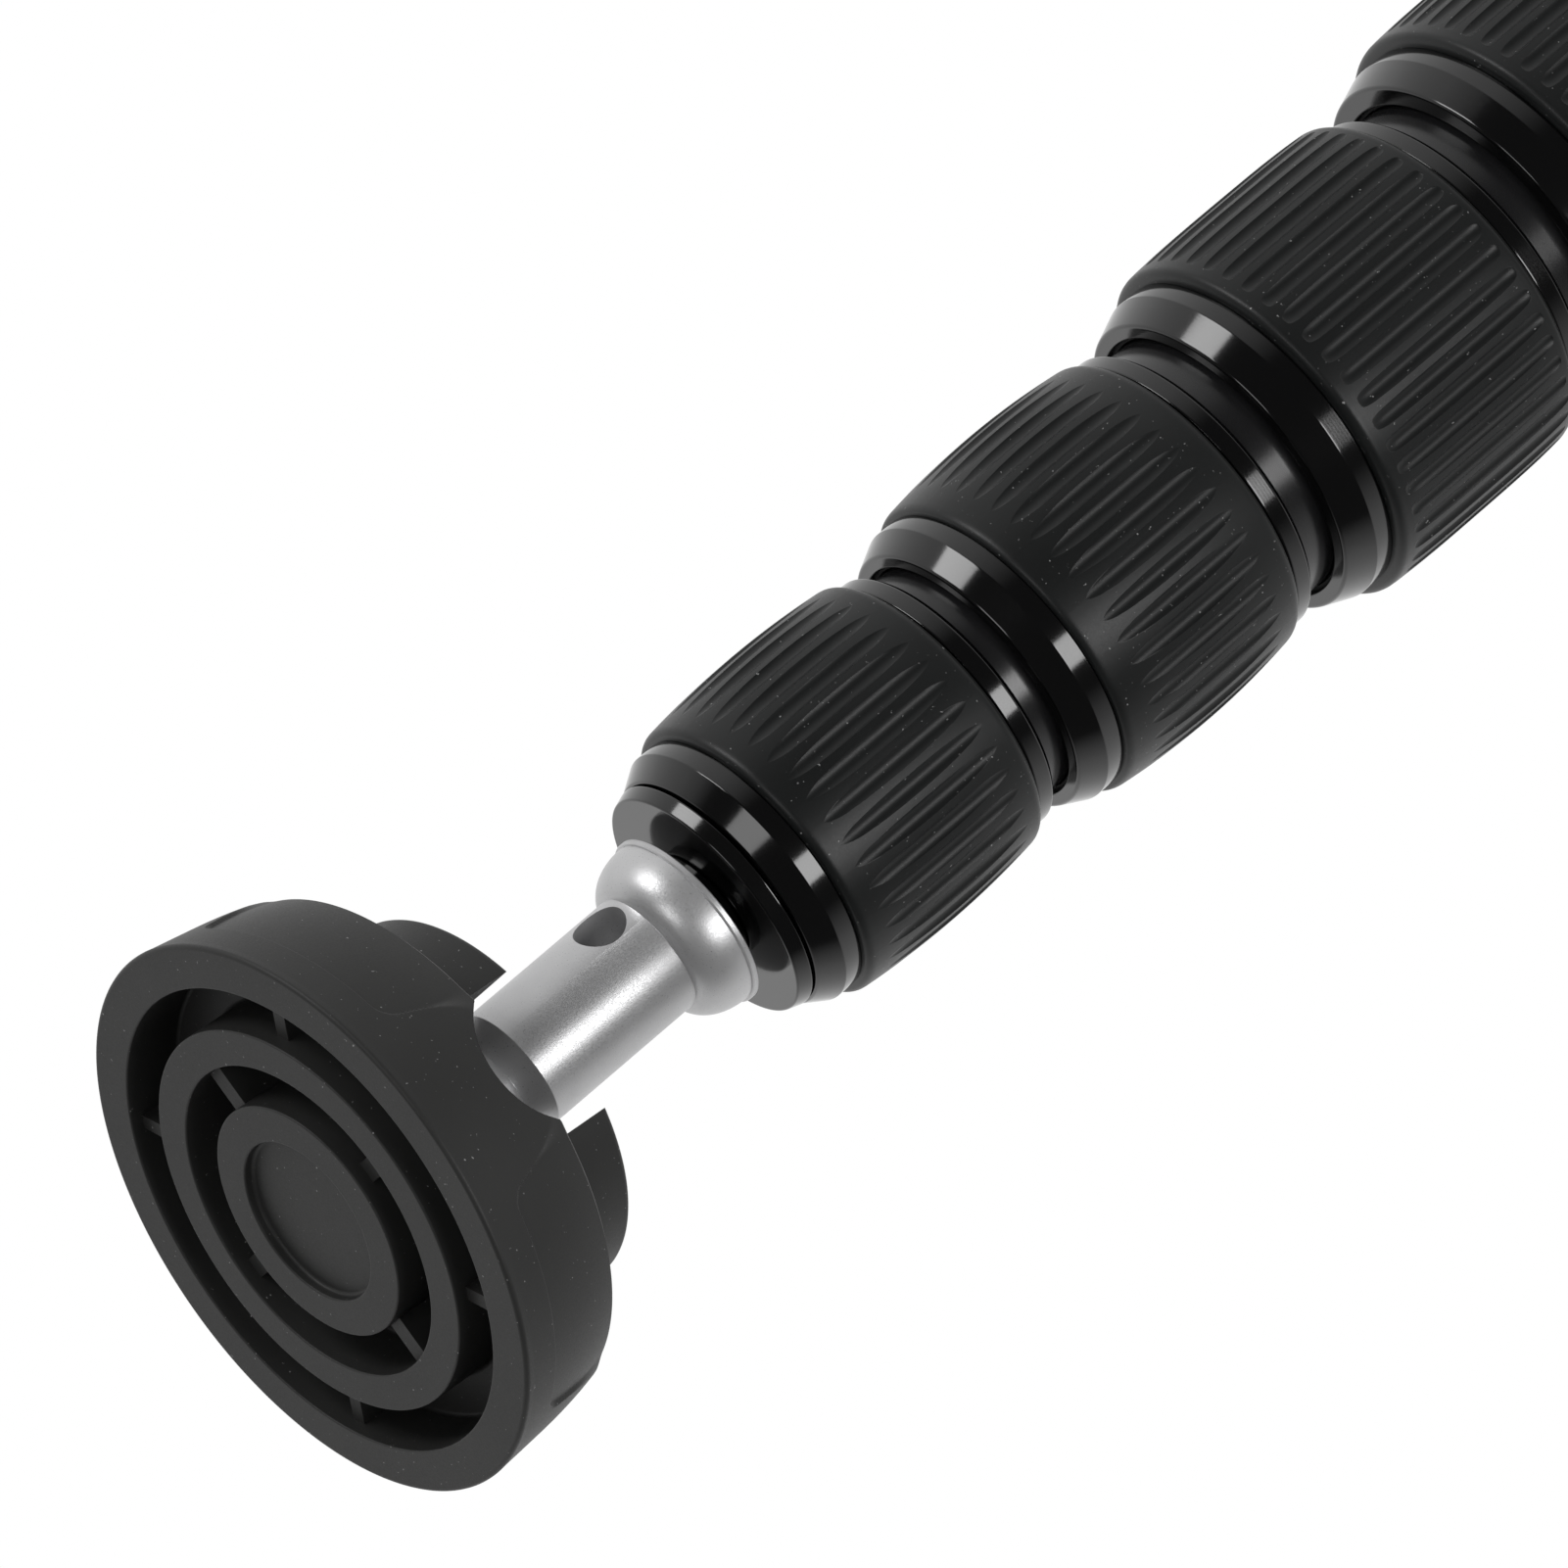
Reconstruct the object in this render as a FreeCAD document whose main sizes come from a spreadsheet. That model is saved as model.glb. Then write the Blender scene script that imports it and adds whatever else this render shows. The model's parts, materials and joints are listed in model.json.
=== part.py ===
"""Five-section camera monopod with twist locks and a swivelling rubber foot.

Frame: +Z runs up the pole, the origin is the centre of the camera seat, lengths are millimetres.
The model stands closed, every section pushed in, with the foot swung a little on its ball.
"""
import FreeCAD, Part
import math
import os

import Sketcher
from FreeCAD import Placement, Rotation, Vector

SIZES = [
    # Tubes
    ("main_tube_od", 32.0),
    ("main_tube_open", 314.0),
    ("tube_wall", 1.2),
    ("tube_gap", 0.4),
    ("nest_step", 5.0),
    ("shim_long", 40.0),
    ("shim_split", 14.0),
    ("slide_play", 0.08),
    # Twist locks, numbered from the top
    ("nut_skin_1", 1.65),
    ("nut_skin_2", 1.3),
    ("nut_skin_3", 1.2),
    ("nut_skin_4", 1.4),
    ("cone_drop_1", 0.95),
    ("cone_drop_2", 1.1),
    ("cone_drop_3", 1.15),
    ("cone_drop_4", 1.3),
    ("cone_high_1", 2.7),
    ("cone_high_2", 2.7),
    ("cone_high_3", 2.3),
    ("cone_high_4", 2.1),
    ("sleeve_long_1", 21.8),
    ("sleeve_long_2", 21.3),
    ("sleeve_long_3", 20.2),
    ("sleeve_long_4", 20.0),
    ("park_gap_1", 3.0),
    ("park_gap_2", 3.0),
    ("park_gap_3", 2.25),
    ("plug_gap", 0.3),
    ("band_high", 1.8),
    ("collar_high", 2.3),
    ("collar_edge", 0.45),
    ("collar_gap", 0.25),
    ("collar_floor", 0.8),
    ("sleeve_seat", 1.0),
    ("nut_wall", 0.85),
    ("thread_play", 0.1),
    ("mouth_play", 0.5),
    ("spigot_play", 0.2),
    ("thread_long", 10.0),
    ("collet_long", 6.0),
    ("collet_play", 0.15),
    ("collet_split", 12.0),
    ("wiper_high", 1.2),
    ("wiper_inset", 0.6),
    ("wiper_play", 0.1),
    # Rubber sleeves on the locks
    ("sleeve_bulge", 1.4),
    ("barrel_rise", 0.4),
    ("sleeve_lip", 0.25),
    ("sleeve_round", 1.9),
    ("flute_deep", 0.5),
    ("flute_bit", 0.85),
    ("flute_pitch", 2.32),
    # Head
    ("platform_od", 52.0),
    ("platform_high", 6.5),
    ("platform_cup", 2.0),
    ("platform_rim", 1.6),
    ("scallop_bit", 3.0),
    ("scallop_deep", 0.6),
    ("scallop_pitch", 8.2),
    ("pad_high", 2.0),
    ("pad_bore", 14.0),
    ("pad_proud", 0.8),
    ("head_neck_high", 8.0),
    ("head_neck_flare", 4.0),
    ("head_plug_long", 20.0),
    ("head_lip", 1.6),
    ("head_lip_high", 3.0),
    ("screw_od", 6.35),
    ("screw_proud", 5.5),
    ("screw_root_od", 9.525),
    ("screw_root_long", 9.0),
    ("screw_flange_od", 12.6),
    ("screw_flange_high", 1.4),
    ("grub_od", 3.0),
    ("grub_long", 2.6),
    ("grub_play", 0.1),
    # Hand grip
    ("grip_long", 205.0),
    ("grip_thick", 4.2),
    ("grip_swell", 1.0),
    ("grip_drop", 16.0),
    ("ring_thick", 2.6),
    ("ring_high", 5.0),
    ("ring_edge", 0.8),
    # End plug and ball stud
    ("plug_disc_over", 1.6),
    ("plug_disc_taper", 0.4),
    ("plug_disc_high", 1.3),
    ("plug_long", 18.0),
    ("stud_rod_od", 8.0),
    ("stud_play", 0.1),
    ("washer_od", 10.4),
    ("washer_high", 1.4),
    ("part_gap", 0.3),
    ("ball_od", 14.0),
    ("neck_od", 8.0),
    ("shaft_od", 11.0),
    ("shaft_rise", 7.7),
    ("shaft_long", 15.2),
    ("dome_od", 15.8),
    ("dome_high", 4.0),
    ("dome_lip", 0.25),
    ("dome_lip_high", 0.6),
    ("cross_hole", 4.6),
    ("cross_hole_drop", 2.85),
    ("cross_hole_turn", -141.0),
    ("nut_flats", 12.0),
    ("nut_high", 4.0),
    # Rubber foot
    ("foot_od", 50.0),
    ("foot_edge", 0.5),
    ("foot_wall_inset", 1.5),
    ("foot_wall_draft", 1.0),
    ("foot_flare_high", 2.5),
    ("shoulder_high", 11.7),
    ("hub_od", 33.4),
    ("hub_high", 19.4),
    ("hub_rise", 1.5),
    ("hub_edge", 0.5),
    ("ball_high", 14.7),
    ("ball_play", 0.1),
    ("lip_rise", 3.0),
    ("mouth_flare", 3.4),
    ("slot_wide", 13.2),
    ("ring_outer_in", 21.0),
    ("ring_mid_out", 17.3),
    ("ring_mid_in", 14.05),
    ("ring_inner_out", 10.45),
    ("recess_r", 7.2),
    ("recess_deep", 0.9),
    ("groove_deep", 5.5),
    ("rib_inner_thick", 1.8),
    ("rib_outer_thick", 1.3),
    ("rib_recess", 1.2),
    ("petal_low", 3.65),
    ("petal_proud", 0.5),
    ("petal_edge", 0.4),
    ("petal_span", 55.0),
    ("foot_swing", 11.9),
    ("foot_cross", 5.25),
]

LOCKS = (1, 2, 3, 4)

doc = FreeCAD.newDocument("camera_monopod")
sheet = doc.addObject("Spreadsheet::Sheet", "Sizes")
for row, (alias, number) in enumerate(SIZES, start=1):
    sheet.set(f"A{row}", str(number))
    sheet.setAlias(f"A{row}", alias)
doc.recompute()

subparts = []


class Dim:
    """A length that carries its number and the sheet expression it comes from."""

    def __init__(self, value, text):
        self.value = value
        self.text = text

    def __add__(self, other):
        other = dim(other)
        return Dim(self.value + other.value, f"({self.text} + {other.text})")

    def __sub__(self, other):
        other = dim(other)
        return Dim(self.value - other.value, f"({self.text} - {other.text})")

    def __mul__(self, other):
        other = dim(other)
        return Dim(self.value * other.value, f"({self.text} * {other.text})")

    def __truediv__(self, other):
        other = dim(other)
        return Dim(self.value / other.value, f"({self.text} / {other.text})")

    __radd__ = __add__
    __rmul__ = __mul__

    def __rsub__(self, other):
        return dim(other) - self

    def __neg__(self):
        return Dim(-self.value, f"(0 - {self.text})")


def dim(value):
    """Wrap a plain number so that it can stand beside sheet sizes."""
    if isinstance(value, Dim):
        return value
    return Dim(float(value), repr(float(value)))


def root(value):
    """Square root of a size."""
    return Dim(math.sqrt(value.value), f"sqrt({value.text})")


def size(alias):
    """A driving size from the sheet."""
    return Dim(float(getattr(sheet, alias)), f"Sizes.{alias}")


def bow_radius(start, end, bow):
    """Radius of the arc from start to end that stands off its chord by bow."""
    across = end[0] - start[0]
    along = end[1] - start[1]
    quarter = (across * across + along * along) / 4
    return (quarter + bow * bow) / (2 * bow)


def origin_feature(body, role):
    """The body's own origin plane or axis with this role."""
    for feature in body.Origin.OriginFeatures:
        if feature.Role == role:
            return feature
    raise RuntimeError(f"{body.Label} has no {role}")


def new_body(label):
    """A named body that may hold several solids."""
    body = doc.addObject("PartDesign::Body", label)
    body.Label = label
    body.AllowCompound = True
    subparts.append(body)
    return body


def new_sketch(body, name, role, turn=0.0):
    """A sketch on one of the body's origin planes, turned about its upright axis."""
    sketch = body.newObject("Sketcher::SketchObject", name)
    sketch.AttachmentSupport = [(origin_feature(body, role), "")]
    sketch.MapMode = "FlatFace"
    if turn:
        sketch.AttachmentOffset = Placement(Vector(0, 0, 0), Rotation(Vector(0, 1, 0), turn))
    return sketch


def bind(sketch, index, size_value):
    """Tie a dimensional constraint to its sheet expression."""
    sketch.setExpression(f"Constraints[{index}]", size_value.text)


def arc_geometry(start, end, bow):
    """Arc from start to end that bulges to the right of the way from start to end."""
    p0 = Vector(start[0].value, start[1].value, 0)
    p1 = Vector(end[0].value, end[1].value, 0)
    chord = p1 - p0
    right = Vector(chord.y, -chord.x, 0).normalize()
    radius = bow_radius(start, end, dim(abs(bow.value))).value
    side = 1.0 if bow.value > 0 else -1.0
    centre = (p0 + p1) * 0.5 + right * side * (abs(bow.value) - radius)
    angle_0 = math.atan2(p0.y - centre.y, p0.x - centre.x)
    angle_1 = math.atan2(p1.y - centre.y, p1.x - centre.x)
    circle = Part.Circle(centre, Vector(0, 0, 1), radius)
    if side > 0:
        return Part.ArcOfCircle(circle, angle_0, angle_1), 1, 2
    return Part.ArcOfCircle(circle, angle_1, angle_0), 2, 1


def outline(sketch, points):
    """Closed outline through points (x, y) or (x, y, bow), each bound to the sheet.

    A bow is how far the side from that point to the next stands off its chord, to the right.
    """
    corners = [(dim(p[0]), dim(p[1])) for p in points]
    ends = []
    for i, point in enumerate(points):
        start = corners[i]
        end = corners[(i + 1) % len(points)]
        if len(point) > 2:
            arc, first, last = arc_geometry(start, end, dim(point[2]))
            edge = sketch.addGeometry(arc, False)
            bow = dim(point[2])
            if bow.value < 0:
                bow = -bow
            radius = bow_radius(start, end, bow)
            bind(sketch, sketch.addConstraint(
                Sketcher.Constraint("Radius", edge, radius.value)), radius)
            ends.append((edge, first, last))
        else:
            line = Part.LineSegment(
                Vector(start[0].value, start[1].value, 0), Vector(end[0].value, end[1].value, 0))
            ends.append((sketch.addGeometry(line, False), 1, 2))
    for i, (edge, first, last) in enumerate(ends):
        following = ends[(i + 1) % len(ends)]
        sketch.addConstraint(
            Sketcher.Constraint("Coincident", edge, last, following[0], following[1]))
    for (edge, first, last), (x, y) in zip(ends, corners):
        for kind, axis, value in (("DistanceX", -2, x), ("DistanceY", -1, y)):
            if value.value == 0.0:
                sketch.addConstraint(Sketcher.Constraint("PointOnObject", edge, first, axis))
            else:
                index = sketch.addConstraint(
                    Sketcher.Constraint(kind, -1, 1, edge, first, value.value))
                bind(sketch, index, value)


def circle(sketch, x, y, radius):
    """Circle bound to the sheet."""
    x, y, radius = dim(x), dim(y), dim(radius)
    edge = sketch.addGeometry(
        Part.Circle(Vector(x.value, y.value, 0), Vector(0, 0, 1), radius.value), False)
    for kind, axis, value in (("DistanceX", -2, x), ("DistanceY", -1, y)):
        if value.value == 0.0:
            sketch.addConstraint(Sketcher.Constraint("PointOnObject", edge, 3, axis))
        else:
            bind(sketch, sketch.addConstraint(
                Sketcher.Constraint(kind, -1, 1, edge, 3, value.value)), value)
    bind(sketch, sketch.addConstraint(Sketcher.Constraint("Radius", edge, radius.value)), radius)


def revolve(body, points, angle=360.0, turn=0.0, name="Turned"):
    """Turn an outline of (radius, height) points about the body's own Z axis."""
    sketch = new_sketch(body, name + "Outline", "XZ_Plane", turn)
    outline(sketch, points)
    feature = body.newObject("PartDesign::Revolution", name)
    feature.Profile = sketch
    feature.ReferenceAxis = (sketch, ["V_Axis"])
    feature.Angle = angle
    feature.Midplane = angle != 360.0
    body.Tip = feature
    return feature


def turned_body(label, points, height=None, angle=360.0):
    """A body of revolution that stands with its own origin at this height."""
    body = new_body(label)
    revolve(body, points, angle)
    if height is not None:
        lift(body, height)
    return body


def lift(body, height):
    """Place the body at a height on the pole."""
    body.Placement = Placement(Vector(0, 0, height.value), Rotation())
    body.setExpression("Placement.Base.z", height.text)


def cut(body, sketch, name, depth=None, reverse=False, both=False):
    """Pocket a sketch through the body, or to a depth, and make sure that it removes something."""
    doc.recompute()
    before = body.Shape.Volume
    pocket = body.newObject("PartDesign::Pocket", name)
    pocket.Profile = sketch
    pocket.Reversed = reverse
    if depth is None:
        pocket.Type = "ThroughAll"
        pocket.Midplane = both
    else:
        pocket.Type = "Length"
        pocket.Length = depth.value
        pocket.setExpression("Length", depth.text)
        pocket.Midplane = both
    body.Tip = pocket
    doc.recompute()
    if body.Shape.Volume > before - 1e-3:
        raise RuntimeError(f"{body.Label}: {name} removes nothing")
    return pocket


def pattern(body, feature, count, name):
    """Repeat a feature round the body's own Z axis."""
    ring = body.newObject("PartDesign::PolarPattern", name)
    ring.Originals = [feature]
    ring.Axis = (origin_feature(body, "Z_Axis"), [""])
    ring.Angle = 360.0
    ring.Occurrences = count
    body.Tip = ring
    return ring


def copies(radius, pitch):
    """How many copies of this pitch go round a circle."""
    return max(3, round(2 * math.pi * radius.value / pitch.value))


# Radii of the nested tubes, section 1 outermost
tube_step = size("tube_wall") + size("tube_gap")
tube_r = {1: size("main_tube_od") / 2}
for section in (2, 3, 4, 5):
    tube_r[section] = tube_r[section - 1] - tube_step
bore_r = {section: tube_r[section] - size("tube_wall") for section in tube_r}

# Heights on the pole: the head first, then down the locks to the ball
platform_low = -(size("platform_high") + size("pad_proud"))
neck_low = platform_low - size("head_neck_high")
lock_high = {}
for n in LOCKS:
    lock_high[n] = (
        size(f"cone_high_{n}") + size("band_high") + size(f"sleeve_long_{n}")
        + size("collar_high"))
lock_low = {1: neck_low - size("main_tube_open") - lock_high[1]}
for n in (2, 3, 4):
    lock_low[n] = lock_low[n - 1] - size(f"park_gap_{n - 1}") - lock_high[n]
disc_low = lock_low[4] - size("plug_gap") - size("plug_disc_high")
washer_low = disc_low - size("washer_high")
flange_top = washer_low - size("part_gap")
shaft_low = flange_top - size("dome_lip_high") - size("dome_high") - size("shaft_long")
ball_z = shaft_low - size("shaft_rise")

# Heights inside one lock, from its lower rim
seat_low = {n: size(f"cone_high_{n}") + size("band_high") for n in LOCKS}
seat_top = {n: seat_low[n] + size(f"sleeve_long_{n}") for n in LOCKS}
band_r = {n: tube_r[n] + size(f"nut_skin_{n}") for n in LOCKS}
core_r = {n: band_r[n] - size("sleeve_seat") for n in LOCKS}
thread_r = {n: core_r[n] - size("nut_wall") for n in LOCKS}
spigot_r = {n: thread_r[n] - size("thread_play") for n in LOCKS}
mouth_r = {n: tube_r[n + 1] + size("mouth_play") for n in LOCKS}
collet_low = size("wiper_inset") + size("wiper_high") + size("collet_play")
spigot_low = collet_low + size("collet_long")

# Where each tube ends: its foot stands on its ferrule, its head is nested below the next one out
tube_low = {
    n: lock_low[n] + seat_top[n] + size("collar_gap") + size("collar_floor") for n in LOCKS}
tube_low[5] = disc_low + size("plug_disc_high")
main_tube_top = neck_low + size("head_lip_high")
tube_top = {1: main_tube_top, 2: main_tube_top - size("head_plug_long") - size("nest_step")}
for section in (3, 4, 5):
    tube_top[section] = tube_top[section - 1] - size("nest_step")


def make_tubes():
    """The five nested tubes and the guide shims on the inner four."""
    for section in (1, 2, 3, 4, 5):
        label = "main_tube" if section == 1 else f"tube_{section}"
        long = tube_top[section] - tube_low[section]
        turned_body(label, [
            (bore_r[section], 0), (tube_r[section], 0),
            (tube_r[section], long), (bore_r[section], long)], tube_low[section])
    for section in (2, 3, 4, 5):
        shim_r = bore_r[section - 1] - size("slide_play")
        body = new_body(f"tube_{section}_guide_shims")
        half = revolve(body, [
            (tube_r[section], 0), (shim_r, 0),
            (shim_r, size("shim_long")), (tube_r[section], size("shim_long"))],
            angle=180.0 - sheet.shim_split)
        pattern(body, half, 2, "Halves")
        lift(body, tube_top[section] - size("shim_long"))


def make_nut(n):
    """Turned shell of a twist lock: cone, bright band, rubber seat, thread and collet seat."""
    rim_r = band_r[n] - size(f"cone_drop_{n}")
    turned_body(f"lock_{n}_nut", [
        (mouth_r[n], 0),
        (rim_r, 0),
        (band_r[n], size(f"cone_high_{n}")),
        (band_r[n], seat_low[n]),
        (core_r[n], seat_low[n]),
        (core_r[n], seat_top[n]),
        (thread_r[n], seat_top[n]),
        (thread_r[n], spigot_low),
        (mouth_r[n], collet_low)], lock_low[n])


def make_ferrule(n):
    """Collar on the end of a tube with the threaded spigot that carries the nut."""
    spigot_bore = tube_r[n + 1] + size("spigot_play")
    inner_top = seat_top[n] + size("collar_gap") - spigot_low
    collar_top = inner_top - size("collar_gap") + size("collar_high")
    floor_top = inner_top + size("collar_floor")
    turned_body(f"lock_{n}_ferrule", [
        (spigot_bore, 0),
        (spigot_r[n], 0),
        (spigot_r[n], inner_top),
        (band_r[n], inner_top),
        (band_r[n], collar_top - size("collar_edge")),
        (band_r[n] - size("collar_edge"), collar_top),
        (tube_r[n], collar_top),
        (tube_r[n], floor_top),
        (spigot_bore, floor_top)], lock_low[n] + spigot_low)


def make_collet(n):
    """Split cone ring that the nut squeezes on to the tube."""
    inner = tube_r[n + 1] + size("slide_play")
    turned_body(f"lock_{n}_collet", [
        (inner, 0),
        (mouth_r[n] - size("collet_play"), 0),
        (thread_r[n] - size("collet_play"), size("collet_long")),
        (inner, size("collet_long"))], lock_low[n] + collet_low,
        angle=360.0 - sheet.collet_split)


def make_wiper(n):
    """Dust ring in the mouth of the nut."""
    inner = tube_r[n + 1] + size("wiper_play")
    turned_body(f"lock_{n}_dust_ring", [
        (inner, 0), (mouth_r[n], 0),
        (mouth_r[n], size("wiper_high")), (inner, size("wiper_high"))],
        lock_low[n] + size("wiper_inset"))


def make_sleeve(n):
    """Barrel-shaped rubber sleeve with straight flutes that run out towards both ends."""
    middle_r = band_r[n] + size("sleeve_bulge")
    shoulder_r = middle_r - size("barrel_rise")
    edge_r = band_r[n] + size("sleeve_lip")
    long = size(f"sleeve_long_{n}")
    low = size("sleeve_round")
    bead = (shoulder_r - edge_r) / 4
    body = turned_body(f"lock_{n}_sleeve", [
        (core_r[n], 0),
        (edge_r, 0, bead),
        (shoulder_r, low, size("barrel_rise")),
        (shoulder_r, long - low, bead),
        (edge_r, long),
        (core_r[n], long)], lock_low[n] + seat_low[n])
    sketch = new_sketch(body, "FluteSection", "XY_Plane")
    circle(sketch, middle_r - size("flute_deep") + size("flute_bit"), 0, size("flute_bit"))
    flute = cut(body, sketch, "Flute", reverse=True)
    pattern(body, flute, copies(middle_r, size("flute_pitch")), "Flutes")


def make_locks():
    """The four twist locks, each as nut, sleeve, ferrule, collet and dust ring."""
    for n in LOCKS:
        make_nut(n)
        make_sleeve(n)
        make_ferrule(n)
        make_collet(n)
        make_wiper(n)


def make_head():
    """Neck in the top of the main tube, camera platform, pad, camera screw and grub screws."""
    plug_r = bore_r[1]
    neck_r = tube_r[1] + size("head_lip")
    top_r = neck_r + size("head_neck_flare")
    neck_long = size("head_plug_long") + size("head_neck_high") - size("head_lip_high")
    lip_low = size("head_plug_long") - size("head_lip_high")
    screw_r = size("screw_root_od") / 2
    neck = turned_body("head_neck", [
        (screw_r, 0),
        (plug_r, 0),
        (plug_r, size("head_plug_long")),
        (tube_r[1], size("head_plug_long")),
        (tube_r[1], lip_low),
        (neck_r, lip_low),
        (neck_r, size("head_plug_long"), size("head_neck_flare") / -8),
        (top_r, neck_long),
        (screw_r, neck_long)], platform_low - neck_long)
    grub_ring = (neck_r + top_r) / 2
    grub_r = size("grub_od") / 2
    sketch = new_sketch(neck, "GrubHoleSection", "XY_Plane")
    circle(sketch, grub_ring, 0, grub_r + size("grub_play"))
    hole = cut(neck, sketch, "GrubHole", reverse=True)
    pattern(neck, hole, 3, "GrubHoles")

    rim_r = size("platform_od") / 2
    cup_r = rim_r - size("platform_rim")
    under = size("platform_high") - size("platform_cup")
    body = turned_body("camera_platform", [
        (screw_r, 0),
        (top_r, 0),
        (rim_r, under / 2),
        (rim_r, size("platform_high")),
        (cup_r, size("platform_high")),
        (cup_r, under),
        (screw_r, under)], platform_low)
    sketch = new_sketch(body, "ScallopSection", "XY_Plane")
    circle(sketch, rim_r + size("scallop_bit") - size("scallop_deep"), 0, size("scallop_bit"))
    scallop = cut(body, sketch, "Scallop", reverse=True)
    pattern(body, scallop, copies(rim_r, size("scallop_pitch")), "Scallops")

    pad_top = size("pad_high") + size("pad_proud")
    flange_r = size("screw_flange_od") / 2
    turned_body("platform_pad", [
        (size("pad_bore") / 2, 0),
        (cup_r, 0),
        (cup_r, size("pad_high")),
        (cup_r - size("pad_proud"), pad_top),
        (size("pad_bore") / 2, pad_top)], -pad_top)

    stem_low = under - size("screw_root_long")
    turned_body("camera_screw", [
        (0, 0),
        (screw_r, 0),
        (screw_r, size("screw_root_long")),
        (flange_r, size("screw_root_long")),
        (flange_r, size("screw_root_long") + size("screw_flange_high")),
        (size("screw_od") / 2, size("screw_root_long") + size("screw_flange_high")),
        (size("screw_od") / 2, -platform_low - stem_low + size("screw_proud")),
        (0, -platform_low - stem_low + size("screw_proud"))], platform_low + stem_low)

    grubs = new_body("grub_screws")
    sketch = new_sketch(grubs, "GrubSection", "XY_Plane")
    circle(sketch, grub_ring, 0, grub_r)
    grub = grubs.newObject("PartDesign::Pad", "Grub")
    grub.Profile = sketch
    grub.Length = size("grub_long").value
    grub.setExpression("Length", size("grub_long").text)
    grubs.Tip = grub
    pattern(grubs, grub, 3, "Grubs")
    lift(grubs, platform_low - size("grub_long"))


def make_grip():
    """Foam hand grip on the main tube with a trim ring at each end."""
    inner = tube_r[1]
    outer = inner + size("grip_thick")
    ring_r = inner + size("ring_thick")
    long = size("grip_long")
    grip_top = neck_low - size("grip_drop")
    grip_low = grip_top - long
    turned_body("hand_grip", [
        (inner, 0),
        (ring_r, 0),
        (outer, size("grip_thick"), size("grip_swell")),
        (outer, long - size("grip_thick")),
        (ring_r, long),
        (inner, long)], grip_low)
    for label, low in (("grip_ring_upper", grip_top), ("grip_ring_lower", grip_low - size("ring_high"))):
        turned_body(label, [
            (inner, 0),
            (ring_r - size("ring_edge"), 0),
            (ring_r, size("ring_edge")),
            (ring_r, size("ring_high") - size("ring_edge")),
            (ring_r - size("ring_edge"), size("ring_high")),
            (inner, size("ring_high"))], low)


def make_end():
    """Plug in the lowest tube, washer, ball stud with its cross hole, and the nut that holds it."""
    disc_r = tube_r[5] + size("plug_disc_over")
    rod_r = size("stud_rod_od") / 2
    rod_bore = rod_r + size("stud_play")
    body_top = size("plug_disc_high") + size("plug_long")
    turned_body("end_plug", [
        (rod_bore, 0),
        (disc_r - size("plug_disc_taper"), 0),
        (disc_r, size("plug_disc_high")),
        (bore_r[5], size("plug_disc_high")),
        (bore_r[5], body_top),
        (rod_bore, body_top)], disc_low)
    turned_body("stud_washer", [
        (rod_bore, 0),
        (size("washer_od") / 2, 0),
        (size("washer_od") / 2, size("washer_high")),
        (rod_bore, size("washer_high"))], washer_low)

    ball_r = size("ball_od") / 2
    neck_r = size("neck_od") / 2
    shaft_r = size("shaft_od") / 2
    dome_r = size("dome_od") / 2
    lip_r = dome_r + size("dome_lip")
    neck_join = root(ball_r * ball_r - neck_r * neck_r)
    dome_low = size("shaft_rise") + size("shaft_long")
    dome_top = dome_low + size("dome_high")
    lip_top = dome_top + size("dome_lip_high")
    nut_low = lip_top + size("part_gap") + size("washer_high") + body_top + size("part_gap")
    dome_bow = size("dome_high") / 4
    stud = turned_body("foot_stud", [
        (0, -ball_r, ball_r * (1 - math.sqrt(0.5))),
        (ball_r, 0, ball_r - root((ball_r * ball_r + ball_r * neck_join) / 2)),
        (neck_r, neck_join),
        (shaft_r, size("shaft_rise")),
        (shaft_r, dome_low, dome_bow),
        (dome_r, dome_top),
        (lip_r, dome_top),
        (lip_r, lip_top),
        (rod_r, lip_top),
        (rod_r, nut_low + size("nut_high")),
        (0, nut_low + size("nut_high"))], ball_z)
    sketch = new_sketch(stud, "CrossHoleSection", "YZ_Plane")
    circle(sketch, 0, dome_low - size("cross_hole_drop"), size("cross_hole") / 2)
    cut(stud, sketch, "CrossHole", depth=size("shaft_od") * 2, both=True)
    stud.Placement = Placement(
        Vector(0, 0, ball_z.value), Rotation(Vector(0, 0, 1), sheet.cross_hole_turn))

    nut = new_body("stud_nut")
    sketch = new_sketch(nut, "NutSection", "XY_Plane")
    corner = size("nut_flats") / math.sqrt(3)
    outline(sketch, [
        (corner * math.cos(math.radians(60 * k)), corner * math.sin(math.radians(60 * k)))
        for k in range(6)])
    circle(sketch, 0, 0, rod_r)
    pad = nut.newObject("PartDesign::Pad", "Hexagon")
    pad.Profile = sketch
    pad.Length = size("nut_high").value
    pad.setExpression("Length", size("nut_high").text)
    nut.Tip = pad
    lift(nut, ball_z + nut_low)


def foot_wall(height):
    """Radius of the drafted wall of the foot at this height."""
    wall_low = size("foot_edge") + size("foot_flare_high")
    base = size("foot_od") / 2 - size("foot_wall_inset")
    return base - size("foot_wall_draft") * (height - wall_low) / (size("shoulder_high") - wall_low)


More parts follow.
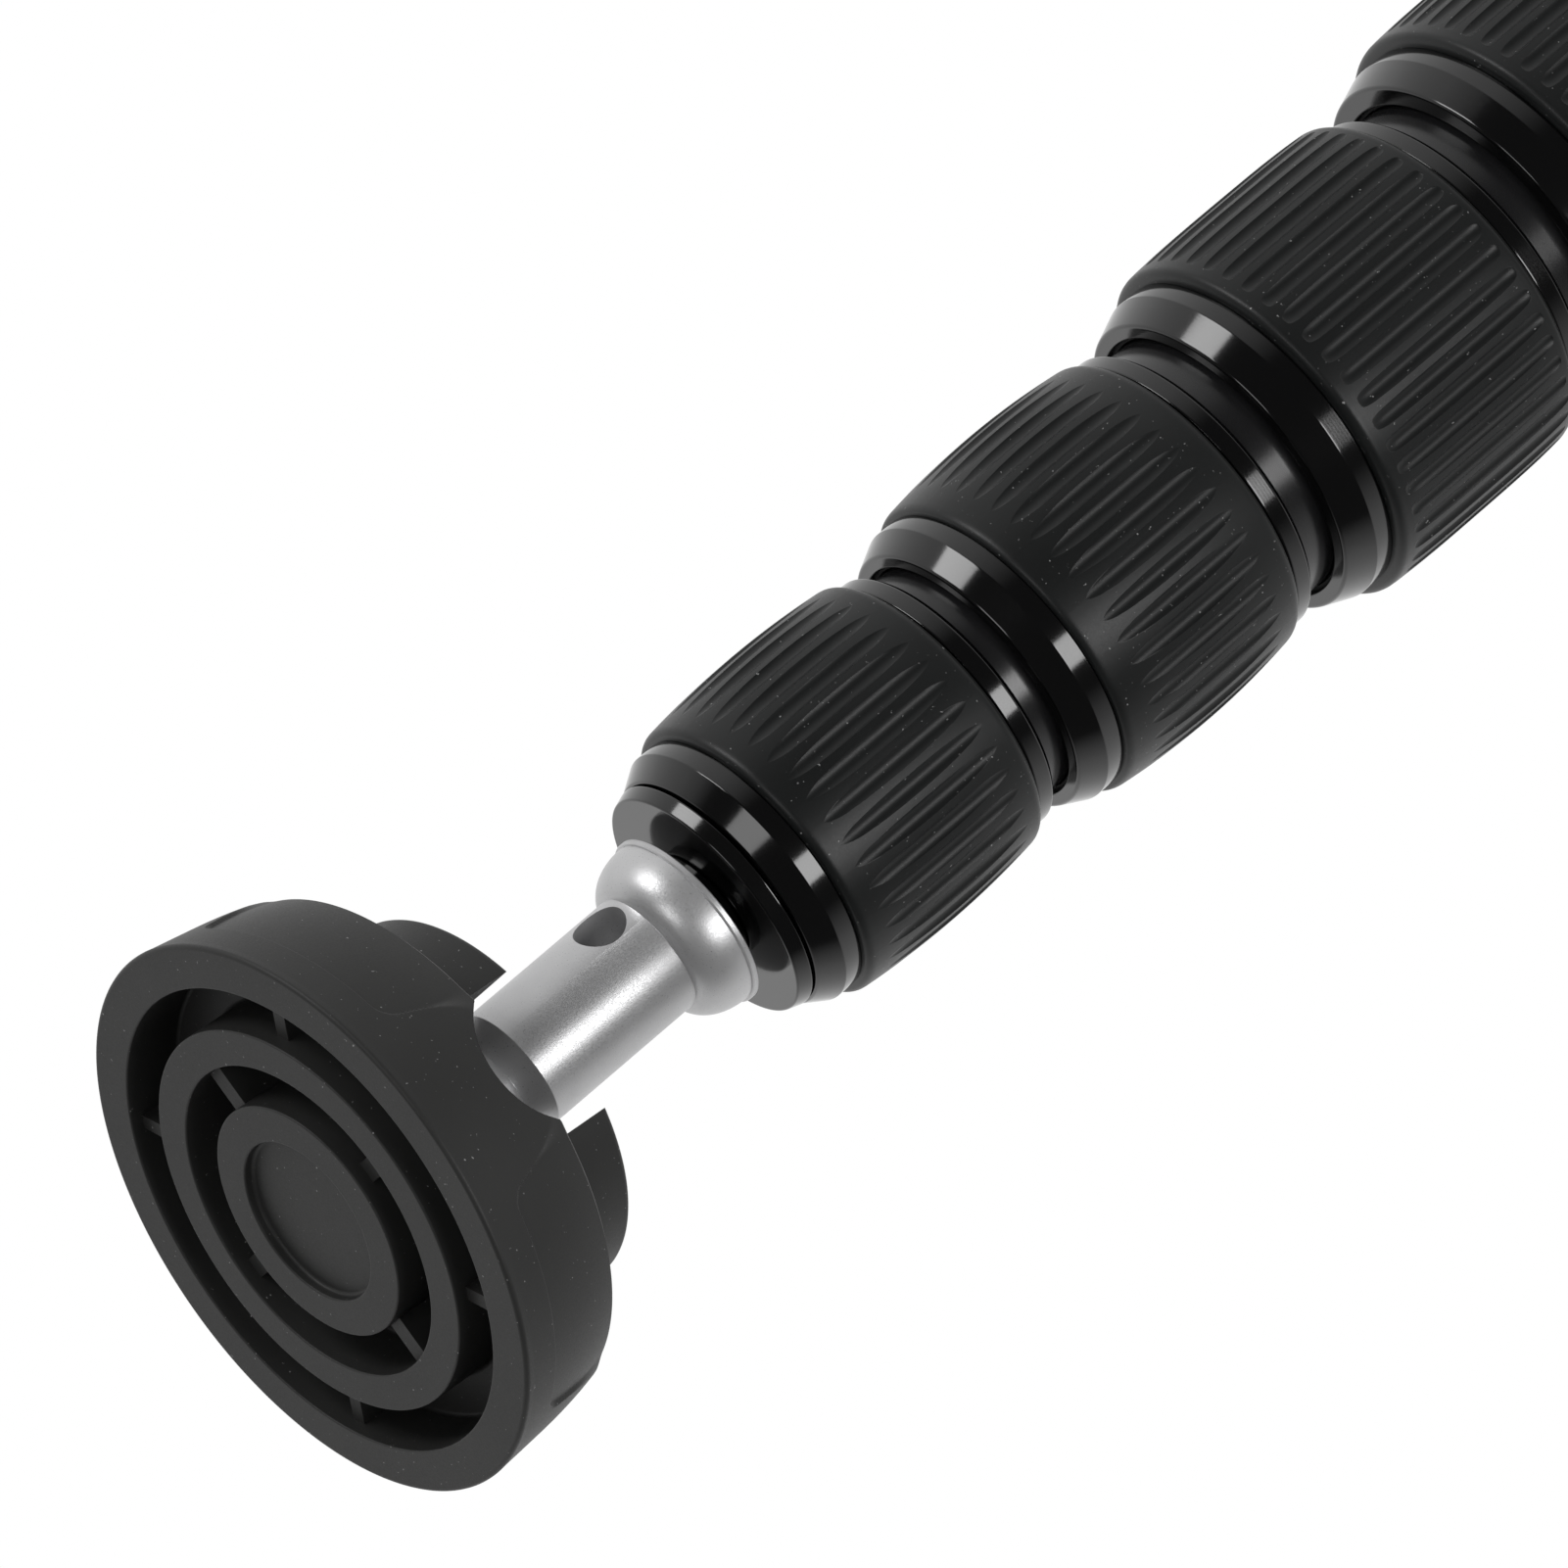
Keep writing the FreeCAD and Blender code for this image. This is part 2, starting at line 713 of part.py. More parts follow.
def make_foot():
    """Moulded rubber foot: ringed sole with ribs, raised petals, ball socket and swing slot."""
    foot_r = size("foot_od") / 2
    edge = size("foot_edge")
    wall_low = edge + size("foot_flare_high")
    shoulder = size("shoulder_high")
    hub_r = size("hub_od") / 2
    hub_top = size("hub_high")
    hub_low = shoulder + size("hub_rise")
    socket_r = size("ball_od") / 2 + size("ball_play")
    centre = size("ball_high")
    lip_z = size("lip_rise")
    lip_r = root(socket_r * socket_r - lip_z * lip_z)
    upper_bow = socket_r - root((socket_r * socket_r + socket_r * lip_r) / 2)
    body = turned_body("rubber_foot", [
        (0, size("recess_deep")),
        (size("recess_r"), size("recess_deep")),
        (size("recess_r"), 0),
        (size("ring_inner_out"), 0),
        (size("ring_inner_out"), size("groove_deep")),
        (size("ring_mid_in"), size("groove_deep")),
        (size("ring_mid_in"), 0),
        (size("ring_mid_out"), 0),
        (size("ring_mid_out"), size("groove_deep")),
        (size("ring_outer_in"), size("groove_deep")),
        (size("ring_outer_in"), 0),
        (foot_r - edge, 0, edge * (1 - math.sqrt(0.5)) * math.sqrt(0.5)),
        (foot_r, edge, size("foot_flare_high") / -8),
        (foot_wall(wall_low), wall_low),
        (foot_wall(shoulder), shoulder),
        (hub_r, hub_low),
        (hub_r, hub_top - size("hub_edge")),
        (hub_r - size("hub_edge"), hub_top),
        (lip_r + size("mouth_flare"), hub_top),
        (lip_r, centre + lip_z, -upper_bow),
        (socket_r, centre, socket_r * (math.sqrt(0.5) - 1)),
        (0, centre - socket_r)])

    petal_r = size("petal_proud")
    edge_up = size("petal_low") + size("petal_edge")
    petal = revolve(body, [
        (hub_r, size("petal_low")),
        (foot_wall(size("petal_low")), size("petal_low")),
        (foot_wall(edge_up) + petal_r, edge_up),
        (foot_wall(shoulder) + petal_r, shoulder - size("petal_edge")),
        (foot_wall(shoulder), shoulder),
        (hub_r, shoulder)], angle=sheet.petal_span, turn=45.0, name="Petal")
    pattern(body, petal, 4, "Petals")

    for name, inner, outer, thick, turn in (
            ("OuterRib", "ring_mid_out", "ring_outer_in", size("rib_outer_thick"), 45.0),
            ("InnerRib", "ring_inner_out", "ring_mid_in", size("rib_inner_thick"), 0.0)):
        sketch = new_sketch(body, name + "Section", "XZ_Plane", turn)
        low, high = size("rib_recess"), size("groove_deep") + thick
        root_in, root_out = size(inner) - thick, size(outer) + thick
        outline(sketch, [(root_in, low), (root_out, low), (root_out, high), (root_in, high)])
        rib = body.newObject("PartDesign::Pad", name)
        rib.Profile = sketch
        rib.Midplane = True
        rib.Length = thick.value
        rib.setExpression("Length", thick.text)
        body.Tip = rib
        pattern(body, rib, 4, name + "s")

    slot_r = size("slot_wide") / 2
    above = hub_top + slot_r
    sketch = new_sketch(body, "SlotSection", "YZ_Plane")
    outline(sketch, [
        (-slot_r, centre, slot_r * (1 - math.sqrt(0.5))),
        (0, centre - slot_r, slot_r * (1 - math.sqrt(0.5))),
        (slot_r, centre),
        (slot_r, above),
        (-slot_r, above)])
    cut(body, sketch, "SwingSlot", reverse=True)

    turn = Rotation(Vector(1, 0, 0), -sheet.foot_swing).multiply(
        Rotation(Vector(0, 1, 0), sheet.foot_cross)).multiply(
        Rotation(Vector(0, 0, 1), -90.0))
    centre_on_pole = Vector(0, 0, ball_z.value)
    body.Placement = Placement(centre_on_pole - turn.multVec(Vector(0, 0, centre.value)), turn)


make_tubes()
make_locks()
make_head()
make_grip()
make_end()
make_foot()
doc.recompute()

for item in doc.Objects:
    if "Invalid" in item.State or "Error" in item.State:
        raise RuntimeError(f"{item.Label} failed: {item.State}")
for body in subparts:
    if body.Shape.isNull() or not body.Shape.isValid():
        raise RuntimeError(f"{body.Label} has no valid shape")

os.makedirs("parts", exist_ok=True)
for body in subparts:
    body.Shape.exportStep(os.path.join("parts", f"{body.Label}.step"))
print("sub-parts", len(subparts))
print("closed height", round(-ball_z.value, 2), "from the camera seat to the ball")
for section in (2, 3, 4, 5):
    shim_low = tube_top[section] - size("shim_long")
    print("stroke of section", section, round((shim_low - tube_low[section - 1]).value, 2))
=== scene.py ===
"""Looks of a five-section camera monopod with twist locks and a swivelling rubber foot."""
import json
import logging
import math
from dataclasses import dataclass
from enum import Enum
from itertools import product

import bmesh
import bpy
from mathutils import Matrix, Vector


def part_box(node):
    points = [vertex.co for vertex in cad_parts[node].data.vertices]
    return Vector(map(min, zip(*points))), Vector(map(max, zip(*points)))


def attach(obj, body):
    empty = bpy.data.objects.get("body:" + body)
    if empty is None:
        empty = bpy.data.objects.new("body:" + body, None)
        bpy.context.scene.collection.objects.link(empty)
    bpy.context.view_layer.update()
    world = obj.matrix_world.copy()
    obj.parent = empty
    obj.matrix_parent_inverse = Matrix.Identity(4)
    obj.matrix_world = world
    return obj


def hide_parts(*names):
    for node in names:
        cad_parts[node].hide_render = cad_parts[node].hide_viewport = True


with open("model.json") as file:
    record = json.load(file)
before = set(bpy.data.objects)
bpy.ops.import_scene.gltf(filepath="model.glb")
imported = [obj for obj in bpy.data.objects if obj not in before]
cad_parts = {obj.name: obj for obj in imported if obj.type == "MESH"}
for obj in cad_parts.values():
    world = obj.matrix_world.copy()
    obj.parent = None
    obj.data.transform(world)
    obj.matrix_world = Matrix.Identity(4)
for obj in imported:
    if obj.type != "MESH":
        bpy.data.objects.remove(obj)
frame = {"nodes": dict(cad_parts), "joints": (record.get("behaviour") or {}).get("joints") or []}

log = logging.getLogger("monopod")

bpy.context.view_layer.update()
MM = 0.001
# Edges over this angle stay sharp, in radians
SHARP = math.radians(31)
# Points nearer to the pole's axis than this lie on it, in millimetres
ON_AXIS = 1e-6
# Copies of a segment weld within this distance, in metres
WELD = 0.000002
# The most of a side that the rounding of a corner takes up
MOST_REACH = 0.45
# How near to a thread's crest a point has to be to belong to it, in millimetres
TOUCH = 0.01
# Where the points across a flute lie, as shares of half its width
FLUTE_SHARES = (0.0, 0.2, 0.4, 0.58, 0.74, 0.87, 0.96, 1.0)
# Where the rows at the ends of a sleeve lie, in millimetres from the end
EDGE_ROWS = (0.0, 0.06, 0.16, 0.3, 0.48, 0.7, 0.95, 1.15)

Point = tuple[float, float]
Corner = tuple[float, ...]


class FluteEnd(Enum):
    """How the flutes of a sleeve run out, as the length of the run-out in millimetres."""

    LENS = 2.2
    ROUND = 1.3


# Nodes


def add_node(tree: bpy.types.NodeTree, kind: str, fixed: dict[str | int, object] | None = None,
             linked: dict[str | int, bpy.types.NodeSocket] | None = None,
             **settings: object) -> bpy.types.Node:
    """Add a node to a tree.

    Args:
        tree: The node tree.
        kind: The node's type.
        fixed: Values of its inputs, by their names or numbers.
        linked: Outputs that feed its inputs, by the inputs' names or numbers.
        settings: The node's own settings.

    Returns:
        The new node.
    """
    node = tree.nodes.new(kind)
    for name, value in settings.items():
        setattr(node, name, value)
    for place, value in (fixed or {}).items():
        node.inputs[place].default_value = value
    for place, socket in (linked or {}).items():
        tree.links.new(socket, node.inputs[place])
    return node


def noise(tree: bpy.types.NodeTree, place: bpy.types.NodeSocket, size: float, detail: float,
          roughness: float = 0.5) -> bpy.types.NodeSocket:
    """Add a noise to a material.

    Args:
        tree: The material's node tree.
        place: The output that gives the place on the piece.
        size: How large its features are, in millimetres.
        detail: How many finer layers it has.
        roughness: How strong the finer layers are.

    Returns:
        The output that gives the noise.
    """
    return add_node(
        tree, "ShaderNodeTexNoise",
        {"Scale": 1.0 / (size * MM), "Detail": detail, "Roughness": roughness},
        {"Vector": place}).outputs["Fac"]


def stretch(tree: bpy.types.NodeTree, value: bpy.types.NodeSocket, source: tuple[float, float],
            target: tuple[float, float] = (0.0, 1.0)) -> bpy.types.NodeSocket:
    """Map a value from one range to another, held at its ends.

    Args:
        tree: The node tree.
        value: The output that gives the value.
        source: The range that it comes from.
        target: The range that it goes to.

    Returns:
        The output that gives the mapped value.
    """
    return add_node(
        tree, "ShaderNodeMapRange",
        {"From Min": source[0], "From Max": source[1], "To Min": target[0], "To Max": target[1]},
        {"Value": value}).outputs["Result"]


def calculate(tree: bpy.types.NodeTree, operation: str, *terms: object) -> bpy.types.NodeSocket:
    """Add a sum, product or the like.

    Args:
        tree: The node tree.
        operation: What is worked out.
        terms: Its terms, as numbers or as the outputs that give them.

    Returns:
        The output that gives the result.
    """
    node = add_node(tree, "ShaderNodeMath", operation=operation)
    for place, term in enumerate(terms):
        if isinstance(term, bpy.types.NodeSocket):
            tree.links.new(term, node.inputs[place])
        else:
            node.inputs[place].default_value = term
    return node.outputs[0]


# Finishes


@dataclass(frozen=True)
class Finish:
    """A surface finish: colour, gloss, grain and specks, with lengths in millimetres."""

    name: str
    colour: tuple[float, float, float]
    roughness: float
    metallic: float = 0.0
    roughness_spread: float = 0.05
    tone_spread: float = 0.15
    grain: float = 0.2
    grain_high: float = 0.004
    cloud: float = 12.0
    specular: float = 0.5
    speck_share: float = 0.0
    speck_size: float = 0.35
    speck_level: float = 0.74
    speck_edge: float = 0.04
    speck_colour: tuple[float, float, float] = (0.2, 0.2, 0.2)
    turned_high: float = 0.0
    turned_pitch: float = 0.9
    noise_range: tuple[float, float] = (0.3, 0.7)
    least_roughness: float = 0.02

    def build(self) -> bpy.types.Material:
        """Make the material, or give the one that is already made.

        Returns:
            The procedural material of this finish.
        """
        made = bpy.data.materials.get(self.name)
        if made:
            return made
        material = bpy.data.materials.new(self.name)
        material.use_nodes = True
        material.diffuse_color = (*self.colour, 1.0)
        tree = material.node_tree
        place = add_node(tree, "ShaderNodeTexCoord").outputs["Object"]
        fine = noise(tree, place, self.grain, 3.0, 0.6)
        shader = tree.nodes["Principled BSDF"]
        shader.inputs["Metallic"].default_value = self.metallic
        shader.inputs["Specular IOR Level"].default_value = self.specular
        roughness = stretch(tree, fine, self.noise_range, (
            max(self.least_roughness, self.roughness - self.roughness_spread),
            min(1.0, self.roughness + self.roughness_spread)))
        tree.links.new(self.paint(tree, place), shader.inputs["Base Color"])
        tree.links.new(roughness, shader.inputs["Roughness"])
        tree.links.new(self.relief(tree, place, fine), shader.inputs["Normal"])
        return material

    def paint(self, tree: bpy.types.NodeTree,
              place: bpy.types.NodeSocket) -> bpy.types.NodeSocket:
        """Colour the finish with slow clouds, and with specks where it has them.

        Args:
            tree: The material's node tree.
            place: The output that gives the place on the piece.

        Returns:
            The output that gives the colour.
        """
        tone = stretch(tree, noise(tree, place, self.cloud, 5.0), self.noise_range,
                       (1.0 - self.tone_spread, 1.0 + self.tone_spread))
        paint = add_node(
            tree, "ShaderNodeMix", data_type="RGBA", blend_type="MULTIPLY",
            fixed={"Factor": 1.0, "A": (*self.colour, 1.0)}, linked={"B": tone})
        if self.speck_share <= 0.0:
            return paint.outputs["Result"]
        level = self.speck_level - self.speck_share
        specks = add_node(
            tree, "ShaderNodeMix", data_type="RGBA",
            fixed={"B": (*self.speck_colour, 1.0)},
            linked={
                "Factor": stretch(tree, noise(tree, place, self.speck_size, 2.0),
                                  (level, level + self.speck_edge)),
                "A": paint.outputs["Result"]})
        return specks.outputs["Result"]

    def relief(self, tree: bpy.types.NodeTree, place: bpy.types.NodeSocket,
               fine: bpy.types.NodeSocket) -> bpy.types.NodeSocket:
        """Give the finish its grain, and lathe marks where it is turned.

        Args:
            tree: The material's node tree.
            place: The output that gives the place on the piece.
            fine: The output that gives the fine noise.

        Returns:
            The output that gives the surface's direction.
        """
        grain = add_node(
            tree, "ShaderNodeBump", {"Strength": 1.0, "Distance": self.grain_high * MM},
            {"Height": fine})
        if self.turned_high <= 0.0:
            return grain.outputs["Normal"]
        rings = add_node(
            tree, "ShaderNodeTexWave", {"Scale": 1.0 / (self.turned_pitch * MM), "Distortion": 0.6},
            {"Vector": place}, wave_type="BANDS", bands_direction="Z")
        lathe_marks = add_node(
            tree, "ShaderNodeBump", {"Distance": self.turned_high * MM},
            {"Height": rings.outputs["Fac"], "Normal": grain.outputs["Normal"]})
        return lathe_marks.outputs["Normal"]


FOOT_RUBBER = Finish(
    "foot_rubber_moulded", (0.0172, 0.0172, 0.0166), 0.50, tone_spread=0.10, grain=0.16,
    grain_high=0.006, specular=0.27, cloud=9.0, speck_share=0.012)
SLEEVE_RUBBER = Finish(
    "sleeve_rubber_moulded", (0.0068, 0.0074, 0.0074), 0.38, tone_spread=0.12, grain=0.12,
    grain_high=0.004, specular=0.26, cloud=6.0, speck_share=0.02)
GLOSS_BLACK = Finish(
    "anodised_gloss_black", (0.0010, 0.0010, 0.0011), 0.11, roughness_spread=0.02,
    tone_spread=0.1, grain=0.10, grain_high=0.0006, specular=0.6, turned_high=0.0002)
TUBE_BLACK = Finish(
    "anodised_tube_black", (0.008, 0.008, 0.0085), 0.22, roughness_spread=0.03,
    tone_spread=0.1, grain=0.12, grain_high=0.0008, specular=0.55)
BLASTED_ALUMINIUM = Finish(
    "bead_blasted_aluminium", (0.48, 0.48, 0.485), 0.36, metallic=0.66, roughness_spread=0.10,
    tone_spread=0.06, grain=0.14, grain_high=0.009, cloud=5.0)
PLATED_STEEL = Finish(
    "plated_steel", (0.55, 0.55, 0.53), 0.28, metallic=1.0, grain=0.2, grain_high=0.002,
    tone_spread=0.06)
GUIDE_PLASTIC = Finish(
    "guide_nylon", (0.62, 0.61, 0.58), 0.5, grain=0.3, grain_high=0.004, tone_spread=0.05)
GRIP_RUBBER = Finish(
    "grip_foam_rubber", (0.016, 0.016, 0.0165), 0.78, grain=0.35, grain_high=0.05,
    tone_spread=0.2, specular=0.35, cloud=20.0)
PAD_RUBBER = Finish(
    "pad_rubber_ribbed", (0.022, 0.022, 0.022), 0.7, grain=0.25, grain_high=0.02,
    specular=0.4)
DARK_SEAL = Finish(
    "seal_rubber_black", (0.008, 0.008, 0.008), 0.7, grain=0.2, grain_high=0.004, specular=0.3)


# Mesh helpers


def mesh_object(name: str, mesh: bpy.types.Mesh, material: bpy.types.Material) -> bpy.types.Object:
    """Put a mesh into the scene as an object at the origin.

    Args:
        name: The object's name.
        mesh: Its mesh, in metres and in the part's frame.
        material: Its only material.

    Returns:
        The new object.
    """
    mesh.name = name
    mesh.materials.clear()
    mesh.materials.append(material)
    item = bpy.data.objects.new(name, mesh)
    bpy.context.scene.collection.objects.link(item)
    return item


def smooth(mesh: bpy.types.Mesh, angle: float = SHARP) -> None:
    """Shade a mesh smooth apart from its sharp edges.

    Args:
        mesh: The mesh.
        angle: The angle over which an edge stays sharp, in radians.
    """
    mesh.polygons.foreach_set("use_smooth", [True] * len(mesh.polygons))
    mesh.set_sharp_from_angle(angle=angle)


def rounded(corners: list[Corner], steps: int = 5, hold: float = 0.05,
            closed: bool = True) -> list[Point]:
    """Round the corners of an outline.

    Args:
        corners: Points (r, z) or (r, z, rounding radius), in millimetres.
        steps: How many sides each rounded corner gets.
        hold: How far from each corner an extra point keeps the straight side flat.
        closed: Whether the last point joins the first.

    Returns:
        The points of the rounded outline.
    """
    result: list[Point] = []
    count = len(corners)
    for i, corner in enumerate(corners):
        here = Vector(corner[:2])
        if here.x < ON_AXIS or (not closed and i in (0, count - 1)):
            result.append((here.x, here.y))
            continue
        before = Vector(corners[i - 1][:2]) - here
        after = Vector(corners[(i + 1) % count][:2]) - here
        radius = corner[2] if len(corner) > 2 else 0.0
        reach = 0.0
        arc = [here]
        if radius > 0.0:
            reach = min(radius / math.tan(before.angle(after) / 2),
                        MOST_REACH * before.length, MOST_REACH * after.length)
            arc = corner_arc(here, before.normalized(), after.normalized(), reach, steps)
        if before.length - reach > 4 * hold:
            arc.insert(0, arc[0] + before.normalized() * hold)
        if after.length - reach > 4 * hold:
            arc.append(arc[-1] + after.normalized() * hold)
        result += [(point.x, point.y) for point in arc]
    return result


def corner_arc(here: Vector, before: Vector, after: Vector, reach: float,
               steps: int) -> list[Vector]:
    """Find the arc that rounds one corner.

    Args:
        here: The corner.
        before: The direction of the side before it, away from the corner.
        after: The direction of the side after it, away from the corner.
        reach: How far from the corner the arc starts and ends.
        steps: How many sides the arc gets.

    Returns:
        The points from the side before to the side after.
    """
    half = before.angle(after) / 2
    centre = here + (before + after).normalized() * (reach * math.tan(half) / math.sin(half))
    first = here + before * reach - centre
    last = here + after * reach - centre
    side = 1.0 if first.x * last.y - first.y * last.x > 0 else -1.0
    points: list[Vector] = []
    for k in range(steps + 1):
        angle = side * first.angle(last) * k / steps
        points.append(centre + Vector((
            first.x * math.cos(angle) - first.y * math.sin(angle),
            first.x * math.sin(angle) + first.y * math.cos(angle))))
    return points


def turned_bmesh(outline: list[Point], turns: list[float]) -> bmesh.types.BMesh:
    """Turn a closed outline about the pole.

    Args:
        outline: Points (r, z) in millimetres. Those on the axis close the form.
        turns: The angles of the steps round the pole, in radians.

    Returns:
        A closed mesh in millimetres.
    """
    bm = bmesh.new()
    rings: list[list[bmesh.types.BMVert]] = []
    for r, z in outline:
        if r < ON_AXIS:
            rings.append([bm.verts.new((0.0, 0.0, z))])
        else:
            rings.append([bm.verts.new((r * math.cos(t), r * math.sin(t), z)) for t in turns])
    count = len(turns)
    for lower, upper in zip(rings, rings[1:] + rings[:1]):
        if len(lower) == 1 and len(upper) == 1:
            continue
        for k in range(count):
            n = (k + 1) % count
            if len(lower) == 1:
                bm.faces.new((lower[0], upper[n], upper[k]))
            elif len(upper) == 1:
                bm.faces.new((lower[k], lower[n], upper[0]))
            else:
                bm.faces.new((lower[k], lower[n], upper[n], upper[k]))
    bmesh.ops.recalc_face_normals(bm, faces=bm.faces)
    return bm


def even_turns(count: int) -> list[float]:
    """Divide a circle into equal steps.

    Args:
        count: How many steps there are.

    Returns:
        Their angles, in radians.
    """
    return [2 * math.pi * k / count for k in range(count)]


def finish_bmesh(bm: bmesh.types.BMesh, lift: float = 0.0) -> bpy.types.Mesh:
    """Turn a mesh in millimetres into one in metres, at its place.

    Args:
        bm: The mesh, which is freed.
        lift: Its height on the pole, in millimetres.

    Returns:
        The finished mesh.
    """
    bm.transform(Matrix.Scale(MM, 4) @ Matrix.Translation((0.0, 0.0, lift)))
    mesh = bpy.data.meshes.new("piece")
    bm.to_mesh(mesh)
    bm.free()
    smooth(mesh)
    return mesh


def turned(name: str, corners: list[Corner], lift: float, finish: Finish, steps: int = 144,
           round_steps: int = 5) -> bpy.types.Object:
    """Make a turned piece.

    Args:
        name: The piece's name.
        corners: Its closed outline, as rounded() takes it.
        lift: The height of the outline's zero, in millimetres.
        finish: Its finish.
        steps: How many sides it has round the pole.
        round_steps: How many sides each rounded corner gets.

    Returns:
        The piece.
    """
    bm = turned_bmesh(rounded(corners, round_steps), even_turns(steps))
    return mesh_object(name, finish_bmesh(bm, lift), finish.build())


def boolean(item: bpy.types.Object, tool: bpy.types.Object, operation: str) -> None:
    """Cut or join a tool with a piece, and drop the tool.

    Args:
        item: The piece.
        tool: The tool.
        operation: UNION or DIFFERENCE.
    """
    change = item.modifiers.new("shape", "BOOLEAN")
    change.operation = operation
    change.solver = "EXACT"
    change.object = tool
    bake(item)
    bpy.data.objects.remove(tool, do_unlink=True)


def bake(item: bpy.types.Object) -> None:
    """Turn a piece and its modifiers into a plain mesh.

    Args:
        item: The piece.
    """
    scene_graph = bpy.context.evaluated_depsgraph_get()
    scene_graph.update()
    plain = bpy.data.meshes.new_from_object(
        item.evaluated_get(scene_graph), preserve_all_data_layers=True, depsgraph=scene_graph)
    old = item.data
    item.modifiers.clear()
    item.data = plain
    plain.name = item.name
    if old.users == 0:
        bpy.data.meshes.remove(old)


def socket_of(tree: bpy.types.NodeTree, name: str) -> str:
    """Find a node tree's named input.

    Args:
        tree: The node tree.
        name: The input's name.

    Returns:
        The input's identifier.

    Raises:
        KeyError: The tree has no such input.
    """
    for item in tree.interface.items_tree:
        if item.item_type == "SOCKET" and item.in_out == "INPUT" and item.name == name:
            return item.identifier
    raise KeyError(name)


def ring_tree() -> bpy.types.NodeTree:
    """Make the Geometry Nodes that repeat a segment round the pole and weld its copies.

    Returns:
        The node tree, with the inputs Segment, Count, Weld and Finish.
    """
    made = bpy.data.node_groups.get("repeat_round_pole")
    if made:
        return made
    tree = bpy.data.node_groups.new("repeat_round_pole", "GeometryNodeTree")
    face = tree.interface
    face.new_socket("Segment", in_out="INPUT", socket_type="NodeSocketGeometry")
    face.new_socket("Count", in_out="INPUT", socket_type="NodeSocketInt").default_value = 4
    face.new_socket("Weld", in_out="INPUT", socket_type="NodeSocketFloat").default_value = WELD
    face.new_socket("Finish", in_out="INPUT", socket_type="NodeSocketMaterial")
    face.new_socket("Piece", in_out="OUTPUT", socket_type="NodeSocketGeometry")
    inputs = add_node(tree, "NodeGroupInput").outputs
    points = add_node(tree, "GeometryNodePoints", linked={"Count": inputs["Count"]})
    index = add_node(tree, "GeometryNodeInputIndex").outputs["Index"]
    share = calculate(tree, "DIVIDE", index, inputs["Count"])
    angle = calculate(tree, "MULTIPLY", share, 2 * math.pi)
    turn = add_node(tree, "ShaderNodeCombineXYZ", linked={"Z": angle})
    copies = add_node(tree, "GeometryNodeInstanceOnPoints", linked={
        "Points": points.outputs[0], "Instance": inputs["Segment"], "Rotation": turn.outputs[0]})
    real = add_node(tree, "GeometryNodeRealizeInstances", linked={0: copies.outputs[0]})
    weld = add_node(tree, "GeometryNodeMergeByDistance", linked={
        "Geometry": real.outputs[0], "Distance": inputs["Weld"]})
    dress = add_node(tree, "GeometryNodeSetMaterial", linked={
        "Geometry": weld.outputs[0], "Material": inputs["Finish"]})
    add_node(tree, "NodeGroupOutput", linked={0: dress.outputs[0]})
    return tree


def repeat_round(name: str, segment: bpy.types.Mesh, count: int, finish: Finish,
                 lift: float = 0.0) -> bpy.types.Object:
    """Repeat a segment round the pole.

    Args:
        name: The piece's name.
        segment: One segment, in metres, about the pole's axis.
        count: How many segments go round.
        finish: The piece's finish.
        lift: Its height, in millimetres.

    Returns:
        The piece, a plain closed mesh.
    """
    tree = ring_tree()
    material = finish.build()
    item = mesh_object(name, segment, material)
    change = item.modifiers.new("repeat", "NODES")
    change.node_group = tree
    change[socket_of(tree, "Count")] = count
    change[socket_of(tree, "Weld")] = WELD
    change[socket_of(tree, "Finish")] = material
    bake(item)
    item.data.materials.clear()
    item.data.materials.append(material)
    item.data.transform(Matrix.Translation((0.0, 0.0, lift * MM)))
    smooth(item.data)
    return item


def ride(item: bpy.types.Object, body: str, *nodes: str, slot: str | None = None) -> None:
    """Let a finished piece move with a body and stand for the body's nodes.

    Args:
        item: The piece.
        body: The body that it moves with.
        nodes: The nodes that it stands for.
        slot: Its material slot in the record; not used.
    """
    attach(item, body)
    if nodes:
        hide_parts(*nodes)
    log.info("%s: %d faces on %s", item.name, len(item.data.polygons), body)


def box_mm(node: str) -> tuple[Vector, Vector]:
    """Find a node's box.

    Args:
        node: The node's name.

    Returns:
        Its lowest and highest corner, in millimetres.
    """
    low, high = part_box(node)
    return Vector(low) / MM, Vector(high) / MM


def dress_node(node: str, finish: Finish) -> None:
    """Give a node that stays its procedural finish.

    Args:
        node: The node's name.
        finish: Its finish.
    """
    item = frame["nodes"][node]
    material = finish.build()
    for place in item.material_slots:
        place.material = material
    if not item.material_slots:
        item.data.materials.append(material)


# Sub-assemblies


